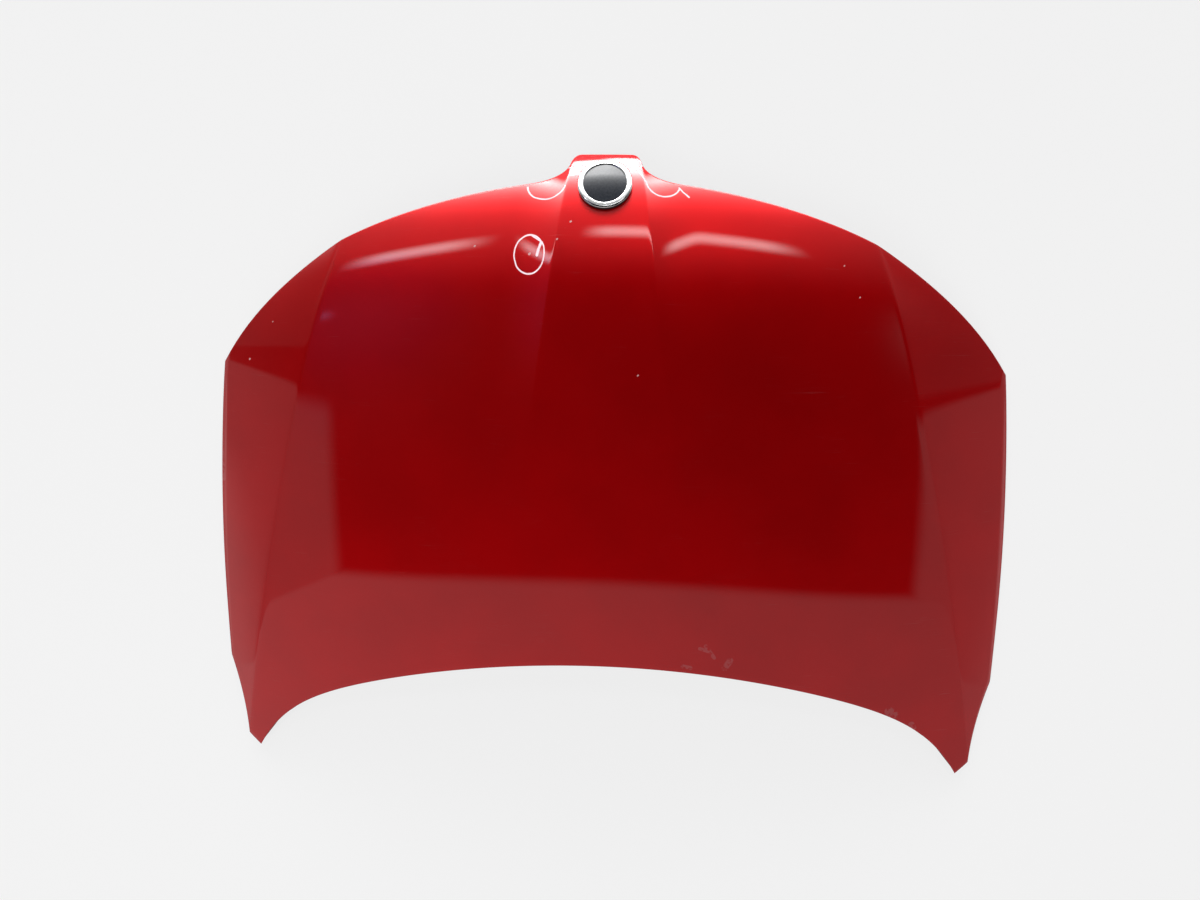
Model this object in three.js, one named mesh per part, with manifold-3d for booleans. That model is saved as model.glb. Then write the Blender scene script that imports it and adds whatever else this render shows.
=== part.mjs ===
// A pressed-steel car bonnet, lying on a floor with its outer face up and its nose towards +Y.
//
// The sheet is drawn on its developed surface. s runs across from the centre line, with +s on the
// right of someone who looks forward over the bonnet. t runs forward along the skin from the middle
// of the rear edge. A depth is measured from the outer face straight into the bonnet.
// Lengths are in millimetres, angles in degrees.

import * as THREE from "three";
import { mergeVertices } from "three/addons/utils/BufferGeometryUtils.js";
import Module from "manifold-3d";

const { degToRad, lerp, clamp, smoothstep } = THREE.MathUtils;
const point = (s, t) => new THREE.Vector2(s, t);

// Outline: the sides and the rear edge
const LENGTH = 895; // middle of the rear edge to the nose tip, along the skin
const HALF_WIDTH = 725;
const WIDEST_T = 60; // the sides draw in ahead of this
const SHOULDER_T = -70; // the sides draw in behind this
const TIP_INSET = 29; // outer corner of each rear tip, inside the widest line
const TIP_BACK = 232; // the same corner, behind the rear edge's middle
const TIP_CUT_WIDTH = 22; // the short cut end of a tip, across
const TIP_CUT_LENGTH = 21; // and along
const REAR_ARCH = 174; // how far the rear edge's arch reaches back at the tips
const HOOK_REACH = 517; // the edge hooks back further and further over this width beside a tip
const HOOK_POWER = 8;

// Outline: the front, measured back from the nose tip
const CORNER_INSET = 24; // front corner, where the wing and the headlamp meet
const CORNER_BACK = 378;
const HEADLAMP_WIDTH = 252; // across, from that corner to where the grille edge begins
const KINK_BACK = 144;
const HEADLAMP_BULGE = 22;
const SHOULDER_REACH = 125; // the grille edge's control point, from the headlamp edge
const SHOULDER_BACK = 81;
const NOSE_FOOT_REACH = 72; // the grille edge runs into the nose this far beside it
const NOSE_REACH = 54;
const NOSE_HALF = 58;
const NOSE_FLAT_HALF = 42;
const NOSE_CORNER = 18;
const NOSE_TAPER = 6; // the corner's control point lies this far inside the nose's side
const NOSE_FILLET = 6; // and the fillet's this far from the nose and from its foot

// Shape of the skin
const BOW = 9.1; // turn of the skin from the rear edge to the nose, even along its length
const NOSE_TURN = 39.8; // further turn of the nose
const NOSE_LENGTH = 437; // the nose turns over this length
const CROWN_REAR_RADIUS = 2640;
const CROWN_FRONT_RADIUS = 2180;
const FACET_FALL = 14.5; // extra fall outside the side creases
const CREASE_BOW = 14; // the side creases bow out this far from a straight line
const RIB_HEIGHT = 9; // raised centre field at the nose
const RIB_FULL_BACK = 135; // it reaches its height this far behind the nose tip
const RIB_FADE_LENGTH = 510; // and fades over this length
const RIB_FLARE = 0.135; // half width gained for each millimetre towards the rear
const RIB_SHOULDER = 75; // width of the hollow beside the raised field

// Sheets and the hem that joins them
const SKIN_THICKNESS = 0.8;
const PANEL_THICKNESS = 0.7;
const SEAM_GAP = 0.3; // between pieces that touch
const HEM_WIDTH = 12;
const HEM_BULGE = 1.3; // the fold's reach past the bend line
const PERIMETER_RAMP = 30;

// Inner panel
const WEB_DEPTH = 22;
const FLANGE_DEPTH = 4.2;
const FLANGE_WIDTH = 10;
const CUTOUT_RAMP = 14;
const CUTOUT_CORNER = 22;
const PAD_RAMP = 12;
const PAD_PROUD = 2.5; // pads stand this far below the web
const WEB_BAR = 24; // web left between the ramps of two cutouts, or of a cutout and a pad
const RIM_BAR = 6; // web left between a cutout's ramp and the rim's
const SIDE_BAND = 140; // the cutouts stop this far inside the widest line
const COLUMN_WIDTHS = [0.5, 1, 1, 0.66]; // of the cutouts from the centre line out, beside each other
const CUTOUT_LENGTH = 160; // with its ramps; a column holds as many as come nearest to this

// Mesh density
const SKIN_ROWS = 20;
const ROW_CROWDING = 1.5;
const FACET_COLUMNS = 5;
const CREASE_COLUMN = 14;
const RIB_COLUMN = 4;
const CENTRE_STEPS = 40;

// Hinge pads and what is welded behind them
const HINGE_INSET = 119; // inside the widest line
const HINGE_T = -8;
const HINGE_BOLT_SPACING = 72;
const HINGE_PAD_END = 20; // the pad beyond each bolt
const HINGE_PAD_WIDTH = 60;
const HINGE_BOLT_RADIUS = 4;
const HINGE_PLATE_THICKNESS = 2.5;

// Striker
const STRIKER_BACK = 133; // behind the nose tip
const STRIKER_WEB = 133; // web left plain behind the striker's pad
const STRIKER_BOLT_SPACING = 66;
const STRIKER_PAD_END = 15; // the pad beyond each bolt
const STRIKER_PAD_EDGE = 11; // and beyond each leg of the loop
const STRIKER_BOLT_RADIUS = 3;
const STRIKER_PLATE_THICKNESS = 3;
const STRIKER_REINFORCEMENT_THICKNESS = 2;
const STRIKER_ROD_RADIUS = 4;
const STRIKER_LOOP_LENGTH = 32; // between the legs' centre lines
const STRIKER_LOOP_DROP = 38;
const STRIKER_LOOP_BEND = 11;
const STRIKER_MARGIN = 4; // plates stop this far inside their pad's edge

// Rubber buffers and the stay's grommet
const FRONT_BUFFER_INSET = 105; // inside the widest line
const FRONT_BUFFER_BACK = 67; // behind the front corner
const SIDE_BUFFER_INSET = 85;
const SIDE_BUFFER_T = 240;
const BUFFER_STEM_RADIUS = 5;
const BUFFER_HEAD_RADIUS = 13;
const BUFFER_HEAD_HEIGHT = 9;
const BARB = 2; // a rubber or plastic barb's overhang behind the panel
const BARB_HEIGHT = 3;
const HEAD_BEVEL = 1.5;
const STAY_INSET = 85;
const STAY_T = 140;
const GROMMET_BORE_RADIUS = 5.5;
const GROMMET_WALL = 3;
const GROMMET_FLANGE = 4;
const GROMMET_FLANGE_HEIGHT = 2;

// Badge
const BADGE_BACK = 65; // its middle, behind the nose tip
const BADGE_RADIUS = 45;
const BADGE_RING_WIDTH = 10.5;
const BADGE_RING_HEIGHT = 4;
const BADGE_RING_CREST = 4; // its flat crest
const BADGE_BASE_HEIGHT = 5;
const BADGE_BASE_OVERHANG = 1.5; // the ring stands out over the base
const BADGE_FACE_HEIGHT = 2.4;
const BADGE_DOME = 1.2;
const BADGE_PIN_RADIUS = 2;
const BADGE_PIN_SPACING = 44;
const BADGE_PIN_LENGTH = 7;
const CLIP_WIDTH = 4;
const CLIP_THICKNESS = 0.8;

// Sealant beads between the panel's flanges and the skin
const BEAD_RADIUS = 4.5;
const BEAD_SKIN_GAP = 0.5;
const BEAD_BACK = 375; // the cutouts whose middle is ahead of this, from the nose tip, have none

// Finishes
const paint = { color: 0x9b0a12, roughness: 0.22, metalness: 0.1 };
const finishes = {
  skin: new THREE.MeshStandardMaterial(paint),
  panel: new THREE.MeshStandardMaterial({ ...paint, roughness: 0.45 }),
  primer: new THREE.MeshStandardMaterial({ color: 0x55585a, roughness: 0.6, metalness: 0.3 }),
  zinc: new THREE.MeshStandardMaterial({ color: 0xb9b7ae, roughness: 0.35, metalness: 0.9 }),
  rubber: new THREE.MeshStandardMaterial({ color: 0x141414, roughness: 0.85, metalness: 0 }),
  plastic: new THREE.MeshStandardMaterial({ color: 0x101113, roughness: 0.5, metalness: 0 }),
  chrome: new THREE.MeshStandardMaterial({ color: 0xe4e6e8, roughness: 0.1, metalness: 1 }),
  badgeFace: new THREE.MeshStandardMaterial({ color: 0x14181d, roughness: 0.12, metalness: 0.3 }),
  sealant: new THREE.MeshStandardMaterial({ color: 0xcfc8b4, roughness: 0.8, metalness: 0 }),
};

// Outline curves

const TIP_HALF = HALF_WIDTH - TIP_INSET;
const TIP_INNER_HALF = TIP_HALF - TIP_CUT_WIDTH;
const TIP_END_T = -(TIP_BACK + TIP_CUT_LENGTH);
const CORNER_HALF = HALF_WIDTH - CORNER_INSET;
const CORNER_T = LENGTH - CORNER_BACK;
const KINK_HALF = CORNER_HALF - HEADLAMP_WIDTH;
const KINK_T = LENGTH - KINK_BACK;
const NOSE_FOOT_HALF = NOSE_HALF + NOSE_FOOT_REACH;
const NOSE_FOOT_T = LENGTH - NOSE_REACH;
const NOSE_SIDE_T = LENGTH - NOSE_CORNER;

function rearEdge(s) {
  if (s > TIP_INNER_HALF) return lerp(TIP_END_T, -TIP_BACK, (s - TIP_INNER_HALF) / TIP_CUT_WIDTH);
  const hook = Math.max(0, (s - TIP_INNER_HALF) / HOOK_REACH + 1) ** HOOK_POWER;
  return -REAR_ARCH * (s / TIP_INNER_HALF) ** 2 + (TIP_END_T + REAR_ARCH) * hook;
}

function sideEdge(t) {
  const ahead = clamp((t - WIDEST_T) / (CORNER_T - WIDEST_T), 0, 1);
  const behind = clamp((SHOULDER_T - t) / (SHOULDER_T + TIP_BACK), 0, 1);
  return HALF_WIDTH - CORNER_INSET * ahead ** 2 - TIP_INSET * (1 - (1 - behind) ** 2);
}

function crease(t) {
  const u = (t + TIP_BACK) / (KINK_T + TIP_BACK);
  return lerp(TIP_HALF, KINK_HALF, u) + CREASE_BOW * 4 * u * (1 - u);
}

const ribEdge = (t) => NOSE_HALF + RIB_FLARE * (NOSE_SIDE_T - t);

const noseCorner = new THREE.QuadraticBezierCurve(
  point(NOSE_FLAT_HALF, LENGTH),
  point(NOSE_HALF - NOSE_TAPER, LENGTH),
  point(NOSE_HALF, NOSE_SIDE_T),
);
const noseFillet = new THREE.QuadraticBezierCurve(
  point(NOSE_HALF, NOSE_SIDE_T),
  point(NOSE_HALF + NOSE_FILLET, NOSE_FOOT_T + NOSE_FILLET),
  point(NOSE_FOOT_HALF, NOSE_FOOT_T),
);
const grilleEdge = new THREE.QuadraticBezierCurve(
  point(NOSE_FOOT_HALF, NOSE_FOOT_T),
  point(KINK_HALF - SHOULDER_REACH, LENGTH - SHOULDER_BACK),
  point(KINK_HALF, KINK_T),
);

// The skin in space

function skinAngle(t) {
  const nose = Math.max(0, (t - LENGTH) / NOSE_LENGTH + 1);
  return degToRad(BOW) * (t / LENGTH) + degToRad(NOSE_TURN) * nose ** 2;
}

function centreLine(t) {
  let y = 0;
  let z = 0;
  for (let i = 0; i < CENTRE_STEPS; i++) {
    const angle = skinAngle((t * (i + 0.5)) / CENTRE_STEPS);
    y += (Math.cos(angle) * t) / CENTRE_STEPS;
    z -= (Math.sin(angle) * t) / CENTRE_STEPS;
  }
  return { y, z };
}

function ribRise(s, t) {
  const beside = clamp((Math.abs(s) - ribEdge(t)) / RIB_SHOULDER, 0, 1);
  const full = LENGTH - RIB_FULL_BACK;
  return RIB_HEIGHT * smoothstep(t, full - RIB_FADE_LENGTH, full) * (1 - beside) ** 2;
}

function skinFall(s, t) {
  const curvature = lerp(1 / CROWN_REAR_RADIUS, 1 / CROWN_FRONT_RADIUS, t / LENGTH);
  const outside = Math.max(0, Math.abs(s) - crease(t));
  return (s * s * curvature) / 2 + Math.tan(degToRad(FACET_FALL)) * outside - ribRise(s, t);
}

function skinPoint(s, t) {
  const { y, z } = centreLine(t);
  const angle = skinAngle(t);
  const fall = skinFall(s, t);
  return new THREE.Vector3(s, y - fall * Math.sin(angle), z - fall * Math.cos(angle));
}

function skinNormal(s, t) {
  const across = skinPoint(s + 1, t).sub(skinPoint(s - 1, t));
  const along = skinPoint(s, t + 1).sub(skinPoint(s, t - 1));
  return across.cross(along).normalize();
}

// The skin's net of points on the developed surface

function netRows() {
  const rows = [];
  for (let j = 0; j <= SKIN_ROWS; j++) rows.push(1 - (1 - j / SKIN_ROWS) ** ROW_CROWDING);
  const shoulder = (SHOULDER_T + TIP_BACK) / (CORNER_T + TIP_BACK);
  const off = rows.map((v) => Math.abs(v - shoulder));
  rows[off.indexOf(Math.min(...off.slice(1, -1)))] = shoulder;
  return rows;
}

// Front and rear ends of each column from the centre line to the side crease
function netColumns() {
  let ribRear = ribEdge(0);
  for (let k = 0; k < 4; k++) ribRear = ribEdge(rearEdge(ribRear));
  const columns = [];
  for (let i = 0; i <= CREASE_COLUMN; i++) {
    let front = point(0, LENGTH);
    if (i > 2 * RIB_COLUMN) {
      front = grilleEdge.getPoint((i - 2 * RIB_COLUMN) / (CREASE_COLUMN - 2 * RIB_COLUMN));
    } else if (i > RIB_COLUMN) front = noseFillet.getPoint((i - RIB_COLUMN) / RIB_COLUMN);
    else if (i > 0) front = noseCorner.getPoint((i - 1) / (RIB_COLUMN - 1));
    const beyondRib = (i - RIB_COLUMN) / (CREASE_COLUMN - 1 - RIB_COLUMN);
    let s = i < RIB_COLUMN ? (ribRear * i) / RIB_COLUMN : lerp(ribRear, TIP_INNER_HALF, beyondRib);
    if (i === CREASE_COLUMN) s = TIP_HALF;
    columns.push({ front, rear: point(s, rearEdge(s)), bow: clamp(beyondRib, 0, 1) ** 2 });
  }
  columns[CREASE_COLUMN].bow = 1;
  return columns;
}

function columnPoint(column, v) {
  const p = column.rear.clone().lerp(column.front, v);
  p.x += CREASE_BOW * column.bow * 4 * v * (1 - v);
  return p;
}

function facetPoint(creasePoint, v, share) {
  const t = lerp(-TIP_BACK, CORNER_T, v);
  const p = creasePoint.clone().lerp(point(sideEdge(t), t), share);
  const chord = point(HEADLAMP_WIDTH, CORNER_T - KINK_T).normalize();
  const bulge = HEADLAMP_BULGE * 4 * share * (1 - share) * v ** 4;
  return p.add(point(-chord.y, chord.x).multiplyScalar(bulge));
}

function skinNet() {
  const rows = netRows();
  const columns = netColumns();
  const half = CREASE_COLUMN + FACET_COLUMNS;
  const points = [];
  const index = rows.map(() => []);
  rows.forEach((v, j) => {
    for (let i = -half; i <= half; i++) {
      const column = Math.min(Math.abs(i), CREASE_COLUMN);
      const share = (Math.abs(i) - column) / FACET_COLUMNS;
      const p = columnPoint(columns[column], v);
      const own = share > 0 ? facetPoint(p, v, share) : p;
      if (i < 0) own.x = -own.x;
      const tip = j === 0 && Math.abs(i) > CREASE_COLUMN;
      if (tip && i > 0) index[j].push(index[j].at(-1)); // the facet starts at the tip's corner
      else if (tip) index[j].push(0);
      else {
        index[j].push(points.length);
        points.push(own);
      }
    }
  });
  return { points, index, half };
}

const net = skinNet();

// Two triangles of a four-sided patch, cut the mirrored way on the left
function patch(a, b, c, d, left) {
  const cut = left ? [[a, b, c], [a, c, d]] : [[a, b, d], [b, c, d]];
  return cut.filter(([p, q, r]) => p !== q && q !== r && p !== r);
}

function netTriangles() {
  const triangles = [];
  for (let j = 0; j + 1 < net.index.length; j++) {
    const [near, far] = [net.index[j], net.index[j + 1]];
    for (let i = 0; i + 1 < near.length; i++) {
      triangles.push(...patch(near[i], near[i + 1], far[i + 1], far[i], i < net.half));
    }
  }
  return triangles;
}

const netFaces = netTriangles();
const netPlaces = net.points.map((p) => skinPoint(p.x, p.y));
const netNormals = net.points.map((p) => skinNormal(p.x, p.y));

// The net's face at (s, t), or the nearest beyond the rim, with a weight for each of its corners
function faceAt(s, t) {
  let found = null;
  for (const face of netFaces) {
    const [a, b, c] = face.map((k) => net.points[k]);
    const area = (b.x - a.x) * (c.y - a.y) - (b.y - a.y) * (c.x - a.x);
    const weightB = ((s - a.x) * (c.y - a.y) - (t - a.y) * (c.x - a.x)) / area;
    const weightC = ((b.x - a.x) * (t - a.y) - (b.y - a.y) * (s - a.x)) / area;
    const weights = [1 - weightB - weightC, weightB, weightC];
    const least = Math.min(...weights);
    if (!found || least > found.least) found = { face, weights, least };
    if (least >= 0) break;
  }
  return found;
}

// The point at a depth below the skin's facets, so that pieces drawn with it stay clear of them
function place(s, t, depth) {
  const { face, weights } = faceAt(s, t);
  const p = new THREE.Vector3();
  face.forEach((index, k) => {
    p.addScaledVector(netPlaces[index], weights[k]);
    p.addScaledVector(netNormals[index], -depth * weights[k]);
  });
  return p;
}

// The net's rim, anticlockwise from the left rear tip
function netRim() {
  const rear = [...new Set(net.index[0])];
  const right = net.index.slice(1).map((row) => row.at(-1));
  const front = net.index.at(-1).slice(0, -1).reverse();
  const left = net.index.slice(1, -1).map((row) => row[0]);
  return [...rear, ...right, ...front, ...left.reverse()];
}

const rim = netRim();
const rimPoints = rim.map((k) => net.points[k]);

// Outward direction at each rim point, long enough that edges moved by it stay parallel
const MITRE_MOST = 1.6;
const rimOutward = rimPoints.map((p, k) => {
  const last = rimPoints.at(k - 1);
  const next = rimPoints[(k + 1) % rimPoints.length];
  const before = point(p.y - last.y, last.x - p.x).normalize();
  const after = point(next.y - p.y, p.x - next.x).normalize();
  const mean = before.clone().add(after).normalize();
  return mean.multiplyScalar(Math.min(1 / mean.dot(after), MITRE_MOST));
});

function distanceToRim(p) {
  let least = Infinity;
  rimPoints.forEach((a, k) => {
    const b = rimPoints[(k + 1) % rimPoints.length];
    const edge = b.clone().sub(a);
    const share = clamp(p.clone().sub(a).dot(edge) / edge.lengthSq(), 0, 1);
    least = Math.min(least, p.distanceTo(a.clone().addScaledVector(edge, share)));
  });
  return least;
}

// How far each rim point can move inwards before it nears the far side, as in the narrow tips
const INSET_MOST = HEM_WIDTH + PERIMETER_RAMP;
const CLEAR_SHARE = 0.93; // a moved point is this share of its move from any part of the rim
const CROWDED = 0.8; // and uses this share of the room found
const rimRoom = rimPoints.map((p, k) => {
  let room = 0;
  for (let x = 1; x <= INSET_MOST / CROWDED + 1; x++) {
    const moved = p.clone().addScaledVector(rimOutward[k], -x);
    if (distanceToRim(moved) < CLEAR_SHARE * x) break;
    room = x;
  }
  return room * CROWDED;
});

// Where two neighbours would pass each other, as at a corner, both move less
const FORWARD_SHARE = 0.1; // of an edge's length, kept when it has moved
for (let crossed = [0]; crossed.length; ) {
  crossed = rimPoints.flatMap((p, k) => {
    const next = (k + 1) % rimPoints.length;
    const along = rimPoints[next].clone().sub(p);
    const moved = rimInset(next, INSET_MOST).sub(rimInset(k, INSET_MOST));
    return moved.dot(along) < FORWARD_SHARE * along.lengthSq() ? [k, next] : [];
  });
  for (const k of crossed) rimRoom[k] = Math.max(0, Math.min(rimRoom[k], INSET_MOST) - 1);
}

function rimInset(k, inset) {
  return rimPoints[k].clone().addScaledVector(rimOutward[k], -Math.min(inset, rimRoom[k]));
}

// Solids from nets

function meshSolid(vertices, triangles) {
  const geometry = new THREE.BufferGeometry().setFromPoints(vertices);
  geometry.setIndex(triangles.flat());
  geometry.computeVertexNormals();
  return geometry;
}

// A closed sheet: two nets that share their triangles, joined around every open edge. sections may
// give a rim point its own row of points from the outer net to the inner one.
function sheetSolid(outer, inner, triangles, sections = new Map()) {
  const count = outer.length;
  const vertices = [...outer, ...inner];
  const faces = [...triangles, ...triangles.map(([a, b, c]) => [a + count, c + count, b + count])];
  const rows = new Map();
  const rowOf = (k) => {
    if (!rows.has(k)) {
      const middle = (sections.get(k) ?? []).map((p) => vertices.push(p) - 1);
      rows.set(k, [k, ...middle, k + count]);
    }
    return rows.get(k);
  };
  const edges = new Set(triangles.flatMap(([a, b, c]) => [`${a},${b}`, `${b},${c}`, `${c},${a}`]));
  for (const edge of edges) {
    const [a, b] = edge.split(",").map(Number);
    if (edges.has(`${b},${a}`)) continue;
    const [rowA, rowB] = [rowOf(a), rowOf(b)];
    const right = vertices[a].x + vertices[b].x > 0;
    for (let k = 0; k + 1 < rowA.length; k++) {
      const outward = k < rowA.length / 2; // the fold's two faces are cut alike
      faces.push(...patch(rowA[k], rowA[k + 1], rowB[k + 1], rowB[k], right === outward));
    }
  }
  return meshSolid(vertices, faces);
}

const wasm = await Module();
wasm.setup();

function solidOf(geometry) {
  const bare = new THREE.BufferGeometry().setAttribute("position", geometry.getAttribute("position"));
  bare.setIndex(geometry.index);
  const merged = mergeVertices(bare, 1e-4);
  const vertProperties = merged.attributes.position.array;
  return new wasm.Manifold(
    new wasm.Mesh({ numProp: 3, vertProperties, triVerts: new Uint32Array(merged.index.array) }),
  );
}

function geometryOf(solid) {
  const { vertProperties, triVerts } = solid.getMesh();
  const geometry = new THREE.BufferGeometry();
  geometry.setAttribute("position", new THREE.BufferAttribute(vertProperties, 3));
  geometry.setIndex(new THREE.BufferAttribute(triVerts, 1));
  geometry.computeVertexNormals();
  return geometry;
}

// A turned piece that follows the skin around (s, t). The profile holds [radius, height above skin].
function turnedOnSkin(profile, s, t, segments) {
  const geometry = new THREE.LatheGeometry(profile.map(([r, h]) => point(r, h)), segments);
  const places = geometry.getAttribute("position");
  for (let k = 0; k < places.count; k++) {
    const onSkin = place(s + places.getX(k), t - places.getZ(k), -places.getY(k));
    places.setXYZ(k, onSkin.x, onSkin.y, onSkin.z);
  }
  return geometry;
}

// A turned piece that stands along +Z. The profile holds [radius, z].
function turned(profile, segments) {
  const geometry = new THREE.LatheGeometry(profile.map(([r, z]) => point(r, z)), segments);
  return geometry.rotateX(Math.PI / 2);
}

function circle(x, y, radius, count) {
  const points = [];
  for (let k = 0; k < count; k++) {
    const angle = (2 * Math.PI * k) / count;
    points.push(point(x + radius * Math.cos(angle), y + radius * Math.sin(angle)));
  }
  return points;
}

// A rectangle with round corners, anticlockwise from the right-hand side. A loop that has to follow
// the skin gets the middles of its sides too.
const CORNER_POINTS = 3;
function roundedLoop({ s, t, halfWidth, halfLength }, grow, corner, withMiddles = false) {
  const radius = corner + grow;
  const points = [];
  for (let quarter = 0; quarter < 4; quarter++) {
    const right = quarter === 0 || quarter === 3 ? 1 : -1;
    const front = quarter < 2 ? 1 : -1;
    const middle = point(s + right * (halfWidth - corner), t + front * (halfLength - corner));
    for (let k = 0; k < CORNER_POINTS; k++) {
      const angle = (Math.PI / 2) * (quarter + (k + 0.5) / CORNER_POINTS);
      points.push(point(middle.x + radius * Math.cos(angle), middle.y + radius * Math.sin(angle)));
    }
    const across = [0, -halfWidth - grow, 0, halfWidth + grow][quarter];
    const along = [halfLength + grow, 0, -halfLength - grow, 0][quarter];
    if (withMiddles) points.push(point(s + across, t + along));
  }
  return points;
}

function plate(outline, holes, bottom, thickness) {
  const shape = new THREE.Shape(outline);
  shape.holes = holes.map((loop) => new THREE.Path(loop));
  const settings = { depth: thickness, bevelEnabled: false };
  return new THREE.ExtrudeGeometry(shape, settings).translate(0, 0, bottom);
}

// Flat pads of the inner panel, each with its own frame: x across, y forward, z out of the bonnet

const PAD_CORNER = 8;
const HOLE_POINTS = 12;
const PAD_DEPTH = WEB_DEPTH + PAD_PROUD;

function makePad(name, middle, corner, holes, webBehind = WEB_BAR) {
  const origin = place(middle.s, middle.t, PAD_DEPTH);
  const up = skinNormal(middle.s, middle.t);
  const across = new THREE.Vector3(1, 0, 0).addScaledVector(up, -up.x).normalize();
  const forward = up.clone().cross(across);
  const frame = new THREE.Matrix4().makeBasis(across, forward, up).setPosition(origin);
  return { name, middle, corner, holes, frame, webBehind };
}

function onPad(pad, p, height) {
  const local = new THREE.Vector3(p.x - pad.middle.s, p.y - pad.middle.t, height);
  return local.applyMatrix4(pad.frame);
}

// A round pad with one hole, for a buffer or a grommet
function roundPad(name, { s, t }, holeRadius) {
  const half = holeRadius + FLANGE_WIDTH;
  const middle = { s, t, halfWidth: half, halfLength: half };
  return makePad(name, middle, half, [circle(s, t, holeRadius, HOLE_POINTS)]);
}

const HINGE_HOLE_RADIUS = HINGE_BOLT_RADIUS + SEAM_GAP;
const STRIKER_HOLE_RADIUS = STRIKER_BOLT_RADIUS + SEAM_GAP;
const GROMMET_NECK_RADIUS = GROMMET_BORE_RADIUS + GROMMET_WALL;

const hingeHoles = (s, t) =>
  [-1, 1].map((end) => circle(s, t + (end * HINGE_BOLT_SPACING) / 2, HINGE_HOLE_RADIUS, HOLE_POINTS));
const strikerHoles = (s, t) =>
  [-1, 1].map((end) => circle(s + (end * STRIKER_BOLT_SPACING) / 2, t, STRIKER_HOLE_RADIUS, HOLE_POINTS));

const sides = { left: -1, right: 1 };
const hingePads = Object.entries(sides).map(([side, sign]) => {
  const middle = {
    s: sign * (HALF_WIDTH - HINGE_INSET),
    t: HINGE_T,
    halfWidth: HINGE_PAD_WIDTH / 2,
    halfLength: HINGE_BOLT_SPACING / 2 + HINGE_PAD_END,
  };
  return makePad(side, middle, PAD_CORNER, hingeHoles(middle.s, middle.t));
});
const strikerMiddle = {
  s: 0,
  t: LENGTH - STRIKER_BACK,
  halfWidth: STRIKER_BOLT_SPACING / 2 + STRIKER_PAD_END,
  halfLength: STRIKER_LOOP_LENGTH / 2 + STRIKER_PAD_EDGE,
};
const strikerPad = makePad(
  "striker",
  strikerMiddle,
  PAD_CORNER,
  strikerHoles(strikerMiddle.s, strikerMiddle.t),
  STRIKER_WEB,
);
const buffers = {
  front_buffer: { s: HALF_WIDTH - FRONT_BUFFER_INSET, t: CORNER_T - FRONT_BUFFER_BACK },
  side_buffer: { s: HALF_WIDTH - SIDE_BUFFER_INSET, t: SIDE_BUFFER_T },
};
const bufferPads = Object.entries(buffers).flatMap(([name, { s, t }]) =>
  Object.entries(sides).map(([side, sign]) =>
    roundPad(`${name}_${side}`, { s: sign * s, t }, BUFFER_STEM_RADIUS + SEAM_GAP),
  ),
);
const stayMiddle = { s: STAY_INSET - HALF_WIDTH, t: STAY_T };
const stayPad = roundPad("stay_grommet", stayMiddle, GROMMET_NECK_RADIUS + SEAM_GAP);
const pads = [...hingePads, strikerPad, ...bufferPads, stayPad];

// Cutouts, in columns that end clear of the rim and of the pads

const CUTOUT_SURROUND = FLANGE_WIDTH + CUTOUT_RAMP;

function webClear(near, far, t) {
  const ends = [point(near, t), point(far, t)];
  if (ends.some((p) => distanceToRim(p) < INSET_MOST + RIM_BAR)) return false;
  return pads.every(({ middle, webBehind }) => {
    const beside = Math.max(near - middle.s, middle.s - far) - middle.halfWidth;
    const along = t < middle.t ? webBehind : WEB_BAR;
    const apart = Math.abs(t - middle.t) - middle.halfLength;
    return beside > PAD_RAMP + RIM_BAR || apart > PAD_RAMP + along;
  });
}

function cutoutColumn(near, far) {
  const middle = CORNER_T / 2;
  let [rear, front] = [middle, middle];
  while (webClear(near, far, rear - 1)) rear -= 1;
  while (webClear(near, far, front + 1)) front += 1;
  const count = Math.max(1, Math.round((front - rear + WEB_BAR) / (CUTOUT_LENGTH + WEB_BAR)));
  const length = (front - rear + WEB_BAR) / count - WEB_BAR;
  return Array.from({ length: count }, (_, k) => ({
    s: (near + far) / 2,
    t: rear + length / 2 + k * (length + WEB_BAR),
    halfWidth: (far - near) / 2 - CUTOUT_SURROUND,
    halfLength: length / 2 - CUTOUT_SURROUND,
  }));
}

function layOutCutouts() {
  const bars = WEB_BAR * (COLUMN_WIDTHS.length - 1);
  const total = COLUMN_WIDTHS.reduce((sum, share) => sum + share);
  const unit = (HALF_WIDTH - SIDE_BAND - bars) / total;
  const placed = [];
  let near = -COLUMN_WIDTHS[0] * unit;
  let far = -near;
  for (const next of [...COLUMN_WIDTHS.slice(1), 0]) {
    for (const cutout of cutoutColumn(near, far)) {
      placed.push(cutout);
      if (near > 0) placed.push({ ...cutout, s: -cutout.s });
    }
    near = far + WEB_BAR;
    far = near + next * unit;
  }
  return placed;
}

const cutouts = layOutCutouts();

// Swaps the diagonals of neighbouring faces until none of them is needlessly long and thin
function relax(faces, at) {
  const angle = (a, corner, b) => {
    const [p, q] = [at[a].clone().sub(at[corner]), at[b].clone().sub(at[corner])];
    return Math.atan2(Math.abs(p.cross(q)), p.dot(q));
  };
  for (let changed = true; changed; ) {
    changed = false;
    const owners = new Map();
    faces.forEach((face, i) => face.forEach((a, k) => owners.set(`${a},${face[(k + 1) % 3]}`, i)));
    const touched = new Set();
    faces.forEach((face, i) => {
      for (let k = 0; k < 3; k++) {
        const [a, b, c] = [face[k], face[(k + 1) % 3], face[(k + 2) % 3]];
        const j = owners.get(`${b},${a}`);
        if (j === undefined || touched.has(i) || touched.has(j)) continue;
        const d = faces[j].find((v) => v !== a && v !== b);
        if (angle(a, c, b) + angle(a, d, b) < Math.PI + 1e-6) continue;
        faces[i] = [a, d, c];
        faces[j] = [d, b, c];
        touched.add(i).add(j);
        changed = true;
        break;
      }
    });
  }
  return faces;
}

// Outer skin, hemmed over the inner panel's edge

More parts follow.
